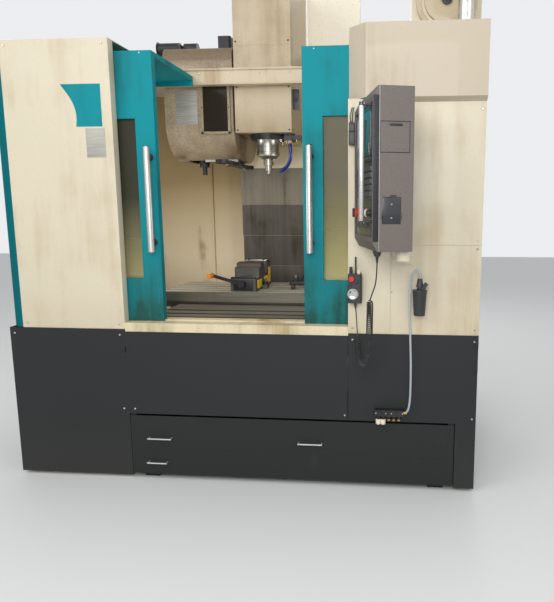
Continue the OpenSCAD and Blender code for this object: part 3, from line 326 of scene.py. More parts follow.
look = {
    "cream": paint("cream_paint", (0.66, 0.59, 0.445), (0.46, 0.36, 0.21), spread=0.62, coat=0.1,
                   low=(1.05, 0.25, 0.25)),
    "cream_inner": paint("stained_cream", (0.7, 0.61, 0.41), (0.3, 0.21, 0.08), rough=0.52, patch=1.5, run=8,
                         spread=0.62, speckle=0.5),
    # The rear wall above 2.3 m is free of stains and painted pale as painted light on its shaded upper part.
    "oily_wall": paint("oily_wall_paint", (0.73, 0.59, 0.385), (0.18, 0.1, 0.004), rough=0.52, patch=3.2,
                       run=4, spread=0.44, speckle=0.7, high=(1.64, 0.55, 0.72), clean_and_lit_above=2.3),
    "beam_paint": paint("beam_paint", (0.58, 0.475, 0.32), (0.33, 0.22, 0.1), run=8, spread=0.6, speckle=0.5,
                        coat=0.15, shine=0.8),
    "barrel_steel": ground_metal("barrel_steel", (0.44, 0.42, 0.37), (0.2, 0.17, 0.12), rough=0.3, spread=0.3,
                                 metallic=0.95, lines=0.02),
    "hood_paint": paint("hood_cream_paint", (0.52, 0.445, 0.335), (0.4, 0.31, 0.19), spread=0.55, coat=0.1),
    "corner_teal": paint("corner_teal_paint", (0.004, 0.13, 0.15), (0.012, 0.09, 0.09), rough=0.6,
                         shine=0.03),
    "drawer_paint": paint("drawer_paint", (0.019, 0.02, 0.02), (0.045, 0.04, 0.03), rough=0.46, peel=0.25,
                          shine=0.25, steel_before=at(0, -3, 0).y),
    "teal": paint("teal_paint", (0.006, 0.25, 0.29), (0.02, 0.085, 0.075), rough=0.5, spread=0.63, shine=0.12,
                  low=(1.45, 0.6, 0.5)),
    "dark_skirt": paint("blue_black_paint", (0.021, 0.023, 0.024), (0.05, 0.045, 0.034), rough=0.46,
                        spread=0.3, low=(0.35, 0.35, 0.3), peel=0.25, shine=0.25),
    "cast_grey": casting("grey_casting", (0.2, 0.195, 0.18), (0.07, 0.055, 0.035)),
    "way_steel": ground_metal("way_cover_steel", (0.09, 0.079, 0.061), (0.05, 0.04, 0.026), rough=0.42,
                              upright=1.0, spread=0.6, fineness=22, lines=0.02, metallic=0.5),
    "upper_shield": ground_metal("upper_shield_steel", (0.2, 0.175, 0.13), (0.11, 0.085, 0.05), rough=0.4,
                                 upright=1.0, spread=0.6, fineness=22, lines=0.02, metallic=0.5),
    "table_steel": ground_metal("table_steel", (0.2, 0.185, 0.145), (0.15, 0.115, 0.07), rough=0.36,
                                spread=0.55, metallic=0.5, fineness=90, lines=0.05),
    "land_steel": ground_metal("scraped_table_top", (0.62, 0.57, 0.47), (0.3, 0.24, 0.16), rough=0.4,
                               spread=0.4, metallic=0.3, fineness=90, lines=0.03),
    "cover_steel": ground_metal("front_cover_steel", (0.27, 0.24, 0.19), (0.09, 0.07, 0.045), rough=0.36,
                                spread=0.35, metallic=0.5, fineness=40, lines=0.02),
    "bright_steel": ground_metal("bright_steel", (0.66, 0.66, 0.64), (0.4, 0.36, 0.28), rough=0.22,
                                 spread=0.25, metallic=0.95, lines=0.1),
    "window": window_sheet("door_window", (0.1, 0.1, 0.072), (0.62, 0.57, 0.32), clear=0.6, spread=0.1,
                           low=(1.5, 0.5, 1.0)),
    # The magazine darkens below 2.0 m: oil stains and painted shade on its lower part.
    "magazine_paint": paint("oily_magazine_paint", (0.5, 0.4, 0.265), (0.15, 0.095, 0.045), rough=0.42,
                            patch=2.2, run=7, spread=0.68, speckle=0.95, coat=0.15, low=(2.0, 0.3, 0.45),
                            dust=0.85, high=(2.33, 0.05, 0.85), pitting=0.5),
    "black_steel": casting("black_steel", (0.03, 0.03, 0.032), (0.08, 0.06, 0.04), rough=0.38, depth=0.2,
                           metallic=0.5),
    "vise_steel": ground_metal("vise_steel", (0.13, 0.12, 0.105), (0.08, 0.055, 0.03), rough=0.42,
                               spread=0.5),
    "panel_grey": casting("panel_texture", (0.15, 0.125, 0.112), (0.09, 0.072, 0.06), rough=0.5, grain=260,
                          depth=0.6, metallic=0.1),
    "screen_black": moulded("panel_black", (0.02, 0.022, 0.025), rough=0.22, depth=0.05, coat=0.4),
    "black_plastic": moulded("black_plastic", (0.018, 0.018, 0.02), rough=0.42),
    "red_plastic": moulded("red_button", (0.5, 0.012, 0.012), rough=0.28, depth=0.05, coat=0.4),
    "cord_black": moulded("cord_rubber", (0.012, 0.012, 0.013), rough=0.5, depth=0.1),
    "head_paint": paint("head_cover_paint", (0.55, 0.45, 0.3), (0.27, 0.17, 0.07), rough=0.42, patch=2.0,
                        run=8, spread=0.6, speckle=0.5, coat=0.15, low=(2.05, 0.2, 0.5), pitting=0.07),
    "grip_steel": ground_metal("grip_steel", (0.64, 0.63, 0.6), (0.5, 0.46, 0.38), rough=0.34, spread=0.05,
                               metallic=0.9, lines=0.02),
    "blue_joint": moulded("blue_joint", (0.012, 0.014, 0.2), rough=0.3, depth=0.05, coat=0.3),
    "yellow": paint("yellow_paint", (0.62, 0.42, 0.02), (0.2, 0.12, 0.03), rough=0.4, spread=0.5),
    "orange": moulded("orange_grip", (0.75, 0.22, 0.015), rough=0.4, depth=0.1),
    "plate": ground_metal("bare_plate", (0.42, 0.4, 0.36), (0.25, 0.2, 0.14), rough=0.4, metallic=0.3,
                          lines=0.1),
    "grey_hose": moulded("grey_hose", (0.3, 0.34, 0.35), rough=0.35, depth=0.1, coat=0.2),
    "white_fitting": moulded("white_fitting", (0.62, 0.56, 0.45), rough=0.4, depth=0.1),
    "rust": casting("rusty_steel", (0.12, 0.055, 0.03), (0.06, 0.03, 0.02), rough=0.55, grain=140,
                    metallic=0.4),
    "brass": ground_metal("brass", (0.5, 0.33, 0.1), (0.15, 0.1, 0.05), rough=0.3, metallic=0.95),
    "display": moulded("display_glass", (0.03, 0.075, 0.08), rough=0.08, depth=0.0, coat=0.8, dust=0.5),
    "right_window": window_sheet("right_door_window", (0.19, 0.165, 0.08), (0.74, 0.7, 0.37), clear=0.6,
                                 spread=0.2, low=(1.6, 0.6, 1.0)),
    "key_grey": moulded("key_grey", (0.05, 0.052, 0.052), rough=0.4, depth=0.1),
    "magazine_window": window_sheet("magazine_window", (0.07, 0.055, 0.04), (0.06, 0.045, 0.03), clear=0.6),
}

own_look = {"column": "cream", "right_hood": "hood_paint", "corner_trim": "corner_teal",
            "chip_drawer": "drawer_paint", "coolant_tank": "drawer_paint", "left_handle": "grip_steel",
            "right_handle": "grip_steel", "head_cover": "head_paint", "right_window": "right_window",
            "magazine_window": "magazine_window", "header_beam": "beam_paint", "duct_pipe": "bright_steel",
            "rear_wall": "oily_wall", "z_cover_1": "upper_shield", "front_cover_b": "cover_steel",
            "front_cover_c": "cover_steel", "saddle": "cover_steel", "magazine_frame": "black_steel",
            "vise_crank": "black_steel", "table": "table_steel", "spindle": "barrel_steel",
            "cutter": "barrel_steel"}
for subpart in frame["record"]["subparts"]:
    name = subpart["node"]
    solid = frame["nodes"][name]
    chosen = look[own_look.get(name, subpart["material_slot"])]
    solid.data.materials.clear()
    solid.data.materials.append(chosen)


# ---------------------------------------------------------------- making pieces
def finish_piece(name, mesh, body, finish, smooth=False):
    """Puts a mesh on one body, with its own finish."""
    piece = bpy.data.objects.new(name, mesh)
    bpy.context.collection.objects.link(piece)
    mesh.materials.clear()
    mesh.materials.append(look[finish])
    if smooth:
        mesh.shade_smooth()
        mesh.set_sharp_from_angle(angle=math.radians(40))
    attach(piece, body)
    return piece


def on_machine(point):
    """From millimetres, with y counted from the front plane, to the frame."""
    return at(*point)


PANEL_TURN = math.radians(14.5)
PANEL_CORNER = (720, -470)      # x and y of the operator panel's front corner


def on_panel(point):
    """From the operator panel's own face coordinates to the frame."""
    u, v, z = point
    return at(PANEL_CORNER[0] - math.sin(PANEL_TURN) * u + math.cos(PANEL_TURN) * v,
              PANEL_CORNER[1] + math.cos(PANEL_TURN) * u + math.sin(PANEL_TURN) * v, z)


def mesh_of(name, shape, turn=None):
    """The finished mesh of a shape, its points first moved by turn where that is given."""
    if turn:
        for vert in shape.verts:
            vert.co = turn(vert.co)
    bmesh.ops.recalc_face_normals(shape, faces=shape.faces)
    mesh = bpy.data.meshes.new(name)
    shape.to_mesh(mesh)
    shape.free()
    return mesh


def bridge(shape, rings):
    """Faces between rings of as many points each, closed at both ends."""
    sides = len(rings[0])
    for a, b in zip(rings, rings[1:]):
        for k in range(sides):
            shape.faces.new((a[k], a[(k + 1) % sides], b[(k + 1) % sides], b[k]))
    shape.faces.new(rings[0][::-1])
    shape.faces.new(rings[-1])


def plates(name, body, finish, parts, edge=1.0, turn=on_machine):
    """Bevelled plates and blocks given by their low and high corners in millimetres."""
    shape = bmesh.new()
    for low, high in parts:
        corners = bmesh.ops.create_cube(shape, size=1)["verts"]
        size = [h - l for l, h in zip(low, high)]
        middle = [(h + l) / 2 for l, h in zip(low, high)]
        for vert in corners:
            vert.co = Vector([m + c * s for m, c, s in zip(middle, vert.co, size)])
        edges = list({e for v in corners for e in v.link_edges})
        width = min(edge, min(size) * 0.45)
        bmesh.ops.bevel(shape, geom=edges, offset=width, segments=2, affect="EDGES", profile=0.6)
    return finish_piece(name, mesh_of(name, shape, turn), body, finish, smooth=True)


def turned_part(name, body, finish, spots, profile, axis="Z", sides=40,
                turn=on_machine):
    """Lathe-turned shapes: profile is (distance along the axis, radius), one copy at each spot."""
    shape = bmesh.new()
    for spot in spots:
        rings = []
        for along, radius in profile:
            ring = []
            for k in range(sides):
                a = 2 * math.pi * k / sides
                u, v = radius * math.cos(a), radius * math.sin(a)
                offset = {"X": (along, u, v), "Y": (v, along, u), "Z": (u, v, along)}[axis]
                ring.append(shape.verts.new([s + o for s, o in zip(spot, offset)]))
            rings.append(ring)
        bridge(shape, rings)
    return finish_piece(name, mesh_of(name, shape, turn), body, finish, smooth=True)


def tube_mesh(name, route, radius, sides=10, radii=None):
    """A round tube along points in metres, closed at both ends."""
    shape = bmesh.new()
    count = len(route)
    heading = (route[1] - route[0]).normalized()
    normal = heading.orthogonal().normalized()
    rings = []
    for i, point in enumerate(route):
        ahead = (route[min(i + 1, count - 1)] - route[max(i - 1, 0)]).normalized()
        normal = (normal - ahead * normal.dot(ahead)).normalized()
        side = ahead.cross(normal)
        r = radii[i] if radii else radius
        rings.append([shape.verts.new(point + r * (math.cos(2 * math.pi * k / sides) * normal
                                                   + math.sin(2 * math.pi * k / sides) * side))
                      for k in range(sides)])
    bridge(shape, rings)
    return mesh_of(name, shape)


def smooth_route(points, steps):
    """Points on a smooth curve through the given ones."""
    last = len(points) - 1
    route = []
    for i in range(last):
        a, b = points[max(i - 1, 0)], points[i]
        c, d = points[i + 1], points[min(i + 2, last)]
        for k in range(steps):
            t = k / steps
            route.append(0.5 * (2 * b + (c - a) * t + (2 * a - 5 * b + 4 * c - d) * t * t
                                + (3 * b - a - 3 * c + d) * t ** 3))
    return route + [points[-1]]


def even(route, step):
    """The same route with its points a fixed step apart."""
    result, carried = [route[0]], 0.0
    for a, b in zip(route, route[1:]):
        span = (b - a).length
        while carried + span >= step:
            a = a + (b - a) * ((step - carried) / span)
            span = (b - a).length
            carried = 0.0
            result.append(a.copy())
        carried += span
    return result


# ---------------------------------------------------------------- cords
WIRE = 0.0055           # thickness of the handset's lead; its other measures are also in metres
COIL_RADIUS = 0.01275
COIL_PITCH = 0.0098
COIL_STEP = 0.0007      # distance between two points along the coil's middle line
COIL_ENDS = 18          # points over which the coil closes in at each end
cord_points = [at(*p) for p in [(738, -403, 1245), (737, -402, 1190), (732, -397, 1130), (718, -388, 1085),
                                (708.1, -380.4, 1056.9)]]
coil_points = [at(*p) for p in [(708, -380, 1056), (706, -362, 972), (703, -332, 885), (697, -294, 800),
                                (684, -250, 742), (666, -208, 722), (649, -164, 732), (637, -122, 770),
                                (631, -88, 826)]]
tail_points = [at(*p) for p in [(631, -87.6, 826.9), (628, -66, 870), (622, -44, 926), (616, -32.1, 984.4)]]
core = even(smooth_route(coil_points, 12), COIL_STEP)
normal = Vector((1, 0, 0))
coiled = []
for i, point in enumerate(core):
    ahead = (core[min(i + 1, len(core) - 1)] - core[max(i - 1, 0)]).normalized()
    normal = (normal - ahead * normal.dot(ahead)).normalized()
    side = ahead.cross(normal)
    turn = 2 * math.pi * i * COIL_STEP / COIL_PITCH
    reach = COIL_RADIUS * min(1, min(i, len(core) - 1 - i) / COIL_ENDS)
    coiled.append(point + reach * (math.cos(turn) * normal + math.sin(turn) * side))
cord_route = smooth_route(cord_points, 5)[:-1] + coiled + smooth_route(tail_points, 5)[1:]
cord_mesh = tube_mesh("handset_lead", cord_route, WIRE / 2, 8)
handset_lead = finish_piece("handset_lead", cord_mesh, "frame", "cord_black", smooth=True)
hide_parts("handset_cord", "handset_coil")
for name, points in (("panel_lead_boot", cord_route[:4]), ("handset_lead_boot", cord_route[::-1][:4])):
    spine = even(smooth_route(points, 6), 0.004)[:8]
    widths = [0.0075 - 0.00052 * k + (0.0004 if k % 2 else 0) for k in range(len(spine))]
    finish_piece(name, tube_mesh(name, spine, 0, 16, widths), "frame", "cord_black",
                              smooth=True)

WASH_HOSE = 0.011      # thickness of the wash gun's hose
wash_points = [at(*p) for p in [(930, -46, 1108), (929, -51, 1134), (915, -57, 1152), (898, -58, 1140),
                                (888, -55, 1105), (884, -50, 1054), (884, -44, 950), (888, -36, 830),
                                (893, -31, 700), (894, -29, 580), (892, -27, 495), (885, -23, 445),
                                (874, -19, 425), (861, -18, 420.5)]]
wash_route = smooth_route(wash_points, 7)
wash_hose = finish_piece("wash_gun_hose", tube_mesh("wash_gun_hose", wash_route, WASH_HOSE / 2, 14), "frame",
                         "grey_hose", smooth=True)


# ---------------------------------------------------------------- repeats
class Tree:
    """A geometry node tree that is built here, with measures in metres as named inputs."""

    def __init__(self, name, inputs):
        self.group = bpy.data.node_groups.new(name, "GeometryNodeTree")
        face = self.group.interface
        face.new_socket("Geometry", in_out="INPUT", socket_type="NodeSocketGeometry")
        for label, value in inputs:
            socket = face.new_socket(label, in_out="INPUT", socket_type="NodeSocketFloat")
            socket.default_value = value
        face.new_socket("Geometry", in_out="OUTPUT", socket_type="NodeSocketGeometry")
        self.given = self.add("NodeGroupInput")
        self.result = self.add("NodeGroupOutput")

    def add(self, kind, links=(), **values):
        node = self.group.nodes.new(kind)
        for key, value in values.items():
            if hasattr(node, key):
                setattr(node, key, value)
            else:
                node.inputs[key.replace("_", " ").title()].default_value = value
        for target, source in links:
            self.group.links.new(source, node.inputs[target])
        return node

    def times(self, label, factor):
        """One of the given measures, multiplied."""
        node = self.add("ShaderNodeMath", [(0, self.given.outputs[label])], operation="MULTIPLY")
        node.inputs[1].default_value = factor
        return node.outputs[0]

    def lifted(self, mesh, height):
        rise = self.add("ShaderNodeCombineXYZ", [("Z", height)])
        links = [("Geometry", mesh), ("Translation", rise.outputs[0])]
        return self.add("GeometryNodeTransform", links).outputs[0]

    def joined(self, *meshes):
        whole = self.add("GeometryNodeJoinGeometry")
        for mesh in meshes:
            self.group.links.new(mesh, whole.inputs[0])
        return whole.outputs[0]

    def facing(self):
        """The direction that spots_mesh stores with its points."""
        node = self.add("GeometryNodeInputNamedAttribute", data_type="FLOAT_VECTOR")
        node.inputs["Name"].default_value = "facing"
        return node.outputs[0]

    def on_spots(self, mesh, finish, turned=None):
        """A copy of one mesh on each point of the base, turned where that is given."""
        points = self.add("GeometryNodeMeshToPoints", [("Mesh", self.given.outputs["Geometry"])])
        links = [("Points", points.outputs[0]), ("Instance", mesh)]
        if turned:
            links.append(("Rotation", turned))
        return self.close(self.add("GeometryNodeInstanceOnPoints", links).outputs[0], finish)

    def close(self, geometry, finish):
        real = self.add("GeometryNodeRealizeInstances", [("Geometry", geometry)])
        painted = self.add("GeometryNodeSetMaterial", [("Geometry", real.outputs[0])])
        painted.inputs["Material"].default_value = look[finish]
        self.group.links.new(painted.outputs[0], self.result.inputs[0])
        return self.group


def grown(name, base, tree, values, body, finish):
    """Runs a tree on a base mesh and keeps the result as a plain mesh on one body."""
    holder = bpy.data.objects.new(name + "_base", base)
    bpy.context.collection.objects.link(holder)
    modifier = holder.modifiers.new("grow", "NODES")
    modifier.node_group = tree
    for item in tree.interface.items_tree:
        if item.in_out == "INPUT" and item.name in values:
            modifier[item.identifier] = values[item.name]
    ready = holder.evaluated_get(bpy.context.evaluated_depsgraph_get())
    mesh = bpy.data.meshes.new_from_object(ready)
    bpy.data.objects.remove(holder)
    return finish_piece(name, mesh, body, finish, smooth=True)


def spots_mesh(name, spots, facing):
    """Loose points that carry the direction in which a fastener or key faces."""
    mesh = bpy.data.meshes.new(name)
    mesh.from_pydata([tuple(p) for p in spots], [], [])
    for point in mesh.attributes.new("facing", "FLOAT_VECTOR", "POINT").data:
        point.vector = facing
    return mesh


def fastener_tree(finish):
    """Round screw heads with a raised dish, one on each point."""
    tree = Tree("fasteners_" + finish, [("Diameter", 0.012), ("Height", 0.004)])
    radius, height = tree.times("Diameter", 0.5), tree.given.outputs["Height"]
    head = tree.add("GeometryNodeMeshCylinder", [("Radius", radius), ("Depth", height)], vertices=14)
    dish = tree.add("GeometryNodeMeshCone", [("Radius Top", tree.times("Diameter", 0.27)),
                                             ("Radius Bottom", radius), ("Depth", height)], vertices=14)
    whole = tree.joined(head.outputs["Mesh"], tree.lifted(dish.outputs["Mesh"], tree.times("Height", 0.5)))
    turned = tree.add("FunctionNodeAlignRotationToVector", [("Vector", tree.facing())], axis="Z")
    return tree.on_spots(whole, finish, turned.outputs[0])


trees = {}


def fasteners(name, body, finish, spots, facing, diameter, height, turn=on_machine):
    """Screw or rivet heads of one finish, with diameter and height in millimetres."""
    if finish not in trees:
        trees[finish] = fastener_tree(finish)
    base = spots_mesh(name + "_spots", [turn(p) for p in spots], facing)
    sizes = {"Diameter": diameter / 1000, "Height": height / 1000}
    return grown(name, base, trees[finish], sizes, body, finish)


FORWARD = (0, -1, 0)
BACK = (0, 1, 0)
RIGHT = (1, 0, 0)
LEFT = (-1, 0, 0)
UP = (0, 0, 1)
DOWN = (0, 0, -1)


def row(a, b, count):
    """Evenly spaced points from one to another."""
    return [tuple(p + (q - p) * k / (count - 1) for p, q in zip(a, b)) for k in range(count)]


def on_circle(x, y, z, radius, angles):
    """Points round an upright axis."""
    return [(x + radius * math.cos(a), y + radius * math.sin(a), z) for a in angles]


# ---------------------------------------------------------------- enclosure details
def flat_shape(name, body, finish, outline, y, thick):
    """A thin plate in the front plane with the outline given as (x, z) in millimetres."""
    shape = bmesh.new()
    front = [shape.verts.new(at(x, y - thick, z)) for x, z in outline]
    back = [shape.verts.new(at(x, y, z)) for x, z in outline]
    count = len(outline)
    shape.faces.new(front)
    shape.faces.new(back[::-1])
    for k in range(count):
        shape.faces.new((front[k], back[k], back[(k + 1) % count], front[(k + 1) % count]))
    return finish_piece(name, mesh_of(name, shape), body, finish)


wave = [(-640, 2047), (-846, 2047)]
wave += [(-846 + 62 * t + 34 * math.sin(t * 2.9), 2047 - 203 * t) for t in [k / 24 for k in range(1, 25)]]
wave += [(-640, 1844)]
flat_shape("left_panel_wave", "frame", "teal", wave, 0, 0.4)
plates("machine_plate", "frame", "plate", [((-729, -1.2, 1695), (-630, 0, 1836))], edge=0.4)
fasteners("machine_plate_rivets", "frame", "bright_steel",
          [(x, -1.2, z) for x in (-723, -636) for z in (1701, 1830)], FORWARD, 5, 1.2)
panel_screws = [(x, 0, z) for x in (-1120, -620) for z in (850, 2235)]
panel_screws += [(791, 0, 1036), (600, 0, 850)] + [(1205, 0, z) for z in (850, 1250, 1290, 1900)]
panel_screws += [(x, 0, 792) for x in (-1200, -620, 600, 1205)]
panel_screws += [(x, 0, 392) for x in (-620, -560, 560, 1205)]
fasteners("front_screws", "frame", "bright_steel", panel_screws, FORWARD, 11, 3)
SIDE = 1225      # half the width over both side walls
for name, x, facing, front, top in (("left_wall_screws", -SIDE, LEFT, 140, 2235),
                                    ("right_wall_screws", SIDE, RIGHT, 40, 2262)):
    wall_screws = []
    for y, z, count in ((front, top, 6), (front, 850, 6), (60, 798, 6), (60, 60, 5)):
        wall_screws += row((x, y, z), (x, 1420, z), count)
    fasteners(name, "frame", "bright_steel", wall_screws, facing, 13, 4)
plates("side_seams", "frame", "black_plastic",
       [((s * (SIDE + 0.3) - 0.8, 700, z), (s * (SIDE + 0.3) + 0.2, 702, t))
        for s in (-1, 1) for z, t in ((828, 1954), (30, 820))], edge=0.2)
plates("skirt_latches", "frame", "black_steel",
       [((1212, -7, z), (SIDE, 0, z + 34)) for z in (640, 760)] + [((-600, -7, 700), (-594, 0, 730))],
       edge=1.5)
fasteners("beam_screws", "frame", "bright_steel",
          row((-540, 640, 2226), (540, 640, 2226), 7), FORWARD, 11, 3)
plates("beam_edges", "frame", "head_paint", [((-586, 637.5, 2164), (574, 640.2, 2170)),
                                                     ((-586, 631.5, 2243), (574, 634.2, 2249))], edge=0.8)
plates("interlock_box", "frame", "black_plastic",
       [((584, -38, 1741), (612, 0, 1800)), ((584, -32, 1802), (610, 0, 1843)),
        ((588, -36, 1838), (606, -8, 1849))], edge=2)
for k, x in enumerate((592, 600)):
    path = smooth_route([at(x, -20, 1846), at(x - 2 + 3 * k, -24, 1874), at(x + 3, -14, 1898),
                         at(x + 6, -2.2, 1916)], 6)
    finish_piece("interlock_wire_%d" % k, tube_mesh("interlock_wire", path, 0.0022, 8), "frame",
                 "cord_black", smooth=True)
ROOF = 2286      # top of the right hood
BANDS = [ROOF + up for up in (40, 150, 290)]      # heights of the duct's bands
turned_part("roof_eyes_base", "frame", "black_steel",
            [(x, y, ROOF) for x in (640, 1180) for y in (900, 1380)], [(0, 22), (5, 22), (7, 12), (16, 10)])
plates("roof_seams", "frame", "cream",
       [((690, 720, ROOF), (1215, 760, ROOF + 3)), ((-1215, 720, 2259), (-640, 760, 2262))], edge=1)
turned_part("duct_bands", "frame", "bright_steel", [(1137, 200, z) for z in BANDS],
            [(0, 36.6), (1, 38.5), (11, 38.5), (12, 36.6)])
plates("duct_band_screws", "frame", "bright_steel",
       [((1131, 158, z + 1), (1143, 166, z + 11)) for z in BANDS], edge=1.5)


def star_knobs(name, spots, y, radius, thick):
    """Five-lobed knobs on the collector's front."""
    shape = bmesh.new()
    for x, z in spots:
        rings = []
        for depth, scale in ((0, 0.55), (4, 0.9), (thick - 4, 1.0), (thick, 0.86)):
            ring = []
            for k in range(40):
                a = 2 * math.pi * k / 40
                r = radius * scale * (0.82 + 0.18 * math.cos(5 * a))
                ring.append(shape.verts.new(at(x + r * math.cos(a), y - depth, z + r * math.sin(a))))
            rings.append(ring)
        bridge(shape, rings)
    return finish_piece(name, mesh_of(name, shape), "frame", "black_plastic", smooth=True)


star_knobs("collector_knobs", [(872 + x, ROOF + z) for x in (45, 305) for z in (45, 325)], 275, 25, 22)
turned_part("collector_ring", "frame", "head_paint", [(1047, 300, 2471)],
            [(0, 153), (-17, 153), (-20, 150), (-20, 128), (-14, 124), (-14, 112), (-31, 110), (-33, 104),
             (-33, 40), (-30, 34), (-30, 1)], axis="Y", sides=64)
turned_part("collector_hub", "frame", "black_steel", [(1047, 267, 2471)],
            [(0, 26), (-6, 26), (-8, 20), (-8, 8), (-12, 7)], axis="Y")
plates("collector_foot", "frame", "cream", [((862, 290, ROOF), (1222, 660, ROOF + 6))], edge=1.5)

# ---------------------------------------------------------------- doors
# body, window's left edge, middle of the grip, left end of the roof part
for body, left, grip, roof_left in (("left_door", -860, -430, -1055), ("right_door", 448, 386, 348)):
    right = left + 360
    plates(body + "_clamp_strips", body, "cast_grey",
           [((left - 22, 100, 1060), (left + 8, 103, 1912)),
            ((right - 8, 100, 1060), (right + 22, 103, 1912)),
            ((left + 8, 100, 1060), (right - 8, 103, 1091)),
            ((left + 8, 100, 1881), (right - 8, 103, 1912))], edge=0.8)
    fasteners(body + "_clamp_screws", body, "bright_steel",
              row((left - 7, 103, 1075), (left - 7, 103, 1897), 7)
              + row((right + 7, 103, 1075), (right + 7, 103, 1897), 7), BACK, 10, 3)
    turned_part(body + "_grip_feet", body, "black_plastic",
                [(grip, 60, z) for z in (1272, 1698)],
                [(0, 17), (-3, 17), (-5, 14.5), (-24, 13), (-30, 14.5), (-31, 12)], axis="Y")
    turned_part(body + "_grip_caps", body, "black_plastic",
                [(grip, 14, z) for z in (1220.2, 1745.5)], [(0, 14), (0.6, 16.6), (3.6, 16.6), (4.2, 14)])
    plates(body + "_roof_ribs", body, "teal",
           [((roof_left + x, 104, 2188.5), (roof_left + x + 26, 630, 2192)) for x in (120, 314, 508)], edge=1)
    fasteners(body + "_roof_screws", body, "bright_steel",
              row((roof_left + 60, 60, 2200), (roof_left + 595, 60, 2200), 4), FORWARD, 8, 2)

# ---------------------------------------------------------------- covers of the ways
for k, (body, half, y, low) in enumerate((("head", 325, 1350, 1470), ("z_cover_2", 321.7, 1353.3, 1248),
                                          ("z_cover_3", 318.4, 1356.6, 1026))):
    plates("column_cover_lip_%d" % k, body, "upper_shield",
           [((-half, y - 1.6, low), (half, y + 0.2, low + 4))], edge=0.7)
for body, front, z in (("saddle", 390, 862), ("front_cover_b", 297.3, 858.7),
                       ("front_cover_c", 204.7, 855.4)):
    plates(body + "_wiper", body, "cord_black",
           [((-519, front - 6, z - 2.8), (519, front + 4, z + 0.8))], edge=1)
plates("lower_column_shield", "frame", "way_steel", [((-316, 1358.6, 880), (316, 1359.8, 1050))],
       edge=0.4)
plates("saddle_apron", "saddle", "way_steel",
       [((-520, 583, 866), (520, 590, 892)), ((-520, 582, 800), (520, 585.2, 806))], edge=1.5)

# ---------------------------------------------------------------- table and vise
SPINDLE_Y = 830      # the spindle's axis and the table's middle slot
slot_rows = [SPINDLE_Y + 90 * k for k in range(-2, 3)]
lands = [584] + [y + s * 11 for y in slot_rows for s in (-1, 1)] + [1076]
plates("table_lands", "table", "land_steel",
       [((-621, front, 939.8), (421, back, 940.4)) for front, back in zip(lands[::2], lands[1::2])], edge=0.2)
plates("table_stops", "table", "cast_grey",
       [((x, 1080, 890), (x + 60, 1092, 915)) for x in (-460, 200)], edge=2)
vise = -122      # x of the vise's middle
for name, body, y in (("vise_serrations", "table", 897.8), ("vise_jaw_serrations", "vise_jaw", 825.8)):
    plates(name, body, "vise_steel",
           [((vise - 74, y, 1030 + 7 * k), (vise + 74, y + 1.4, 1033 + 7 * k)) for k in range(10)], edge=0.5)
plates("vise_side_marks", "table", "yellow",
       [((vise + 78, 640, 956), (vise + 84, 744, 1008)), ((vise + 78, 816, 956), (vise + 84, 930, 1012)),
        ((vise + 78, 940, 960), (vise + 82, 990, 1060))], edge=1.5)
plates("vise_bed_strips", "table", "grip_steel",
       [((vise + s * 58 - 17, 622, 1018), (vise + s * 58 + 17, 897, 1020.15)) for s in (-1, 1)], edge=0.05)
plates("vise_jaw_steps", "vise_jaw", "rust",
       [((vise - 76, 745, 1101), (vise + 76, 772, 1106)), ((vise - 76, 786, 1101), (vise + 76, 806, 1108))],
       edge=1)
plates("vise_fixed_top", "table", "grip_steel",
       [((vise - 74, 903, 1103), (vise + 74, 913, 1107)), ((vise - 70, 948, 1105), (vise + 70, 964, 1108.5))],
       edge=1)
plates("vise_front_cap", "table", "black_steel",
       [((vise - 60, 594, 948), (vise + 60, 600.4, 1014)), ((vise - 78, 606, 1020), (vise + 78, 620, 1030))],
       edge=2)
fasteners("vise_screws", "table", "black_steel",
          [(vise + s * 50, y, 1105) for s in (-1, 1) for y in (932, 978)], UP, 16, 6)


def hex_tree():
    """Hexagon nuts with a washer below, one on each point."""
    tree = Tree("clamp_nuts", [("Width", 0.03), ("Height", 0.018)])
    nut = tree.add("GeometryNodeMeshCylinder", [("Radius", tree.times("Width", 0.58)),
                                                ("Depth", tree.given.outputs["Height"])], vertices=6)
    washer = tree.add("GeometryNodeMeshCylinder", [("Radius", tree.times("Width", 0.8))], vertices=24)
    washer.inputs["Depth"].default_value = 0.003
    whole = tree.joined(tree.lifted(nut.outputs["Mesh"], tree.times("Height", 0.5)), washer.outputs["Mesh"])
    return tree.on_spots(whole, "black_steel")


clamp_spots = [(vise + s * 97, 780, 966) for s in (-1, 1)] + [(180, 740, 996), (215, 920, 996)]
grown("clamp_nuts", spots_mesh("clamp_spots", [at(*p) for p in clamp_spots], UP), hex_tree(),
      {"Width": 0.03, "Height": 0.018}, "table", "black_steel")
turned_part("clamp_studs", "table", "vise_steel", clamp_spots, [(-20, 8), (34, 8), (36, 6.5)],
            sides=20)
plates("strap_clamps", "table", "black_steel",
       [((140, 722, 968), (250, 758, 992)), ((150, 722, 940), (172, 758, 968)),
        ((178, 902, 968), (300, 938, 992)), ((276, 902, 940), (298, 938, 968))], edge=3)
CRANK_ARM = 190
CRANK_TILT = math.radians(74)      # of the crank at rest, from upright
turned_part("crank_grip", "vise_crank", "orange",
            [(vise - CRANK_ARM * math.sin(CRANK_TILT), 508, 990 + CRANK_ARM * math.cos(CRANK_TILT))],
            [(-2, 8), (-1.5, 12), (2, 14), (30, 15.2), (56, 14), (60, 12), (61, 8)], axis="Y", sides=28)

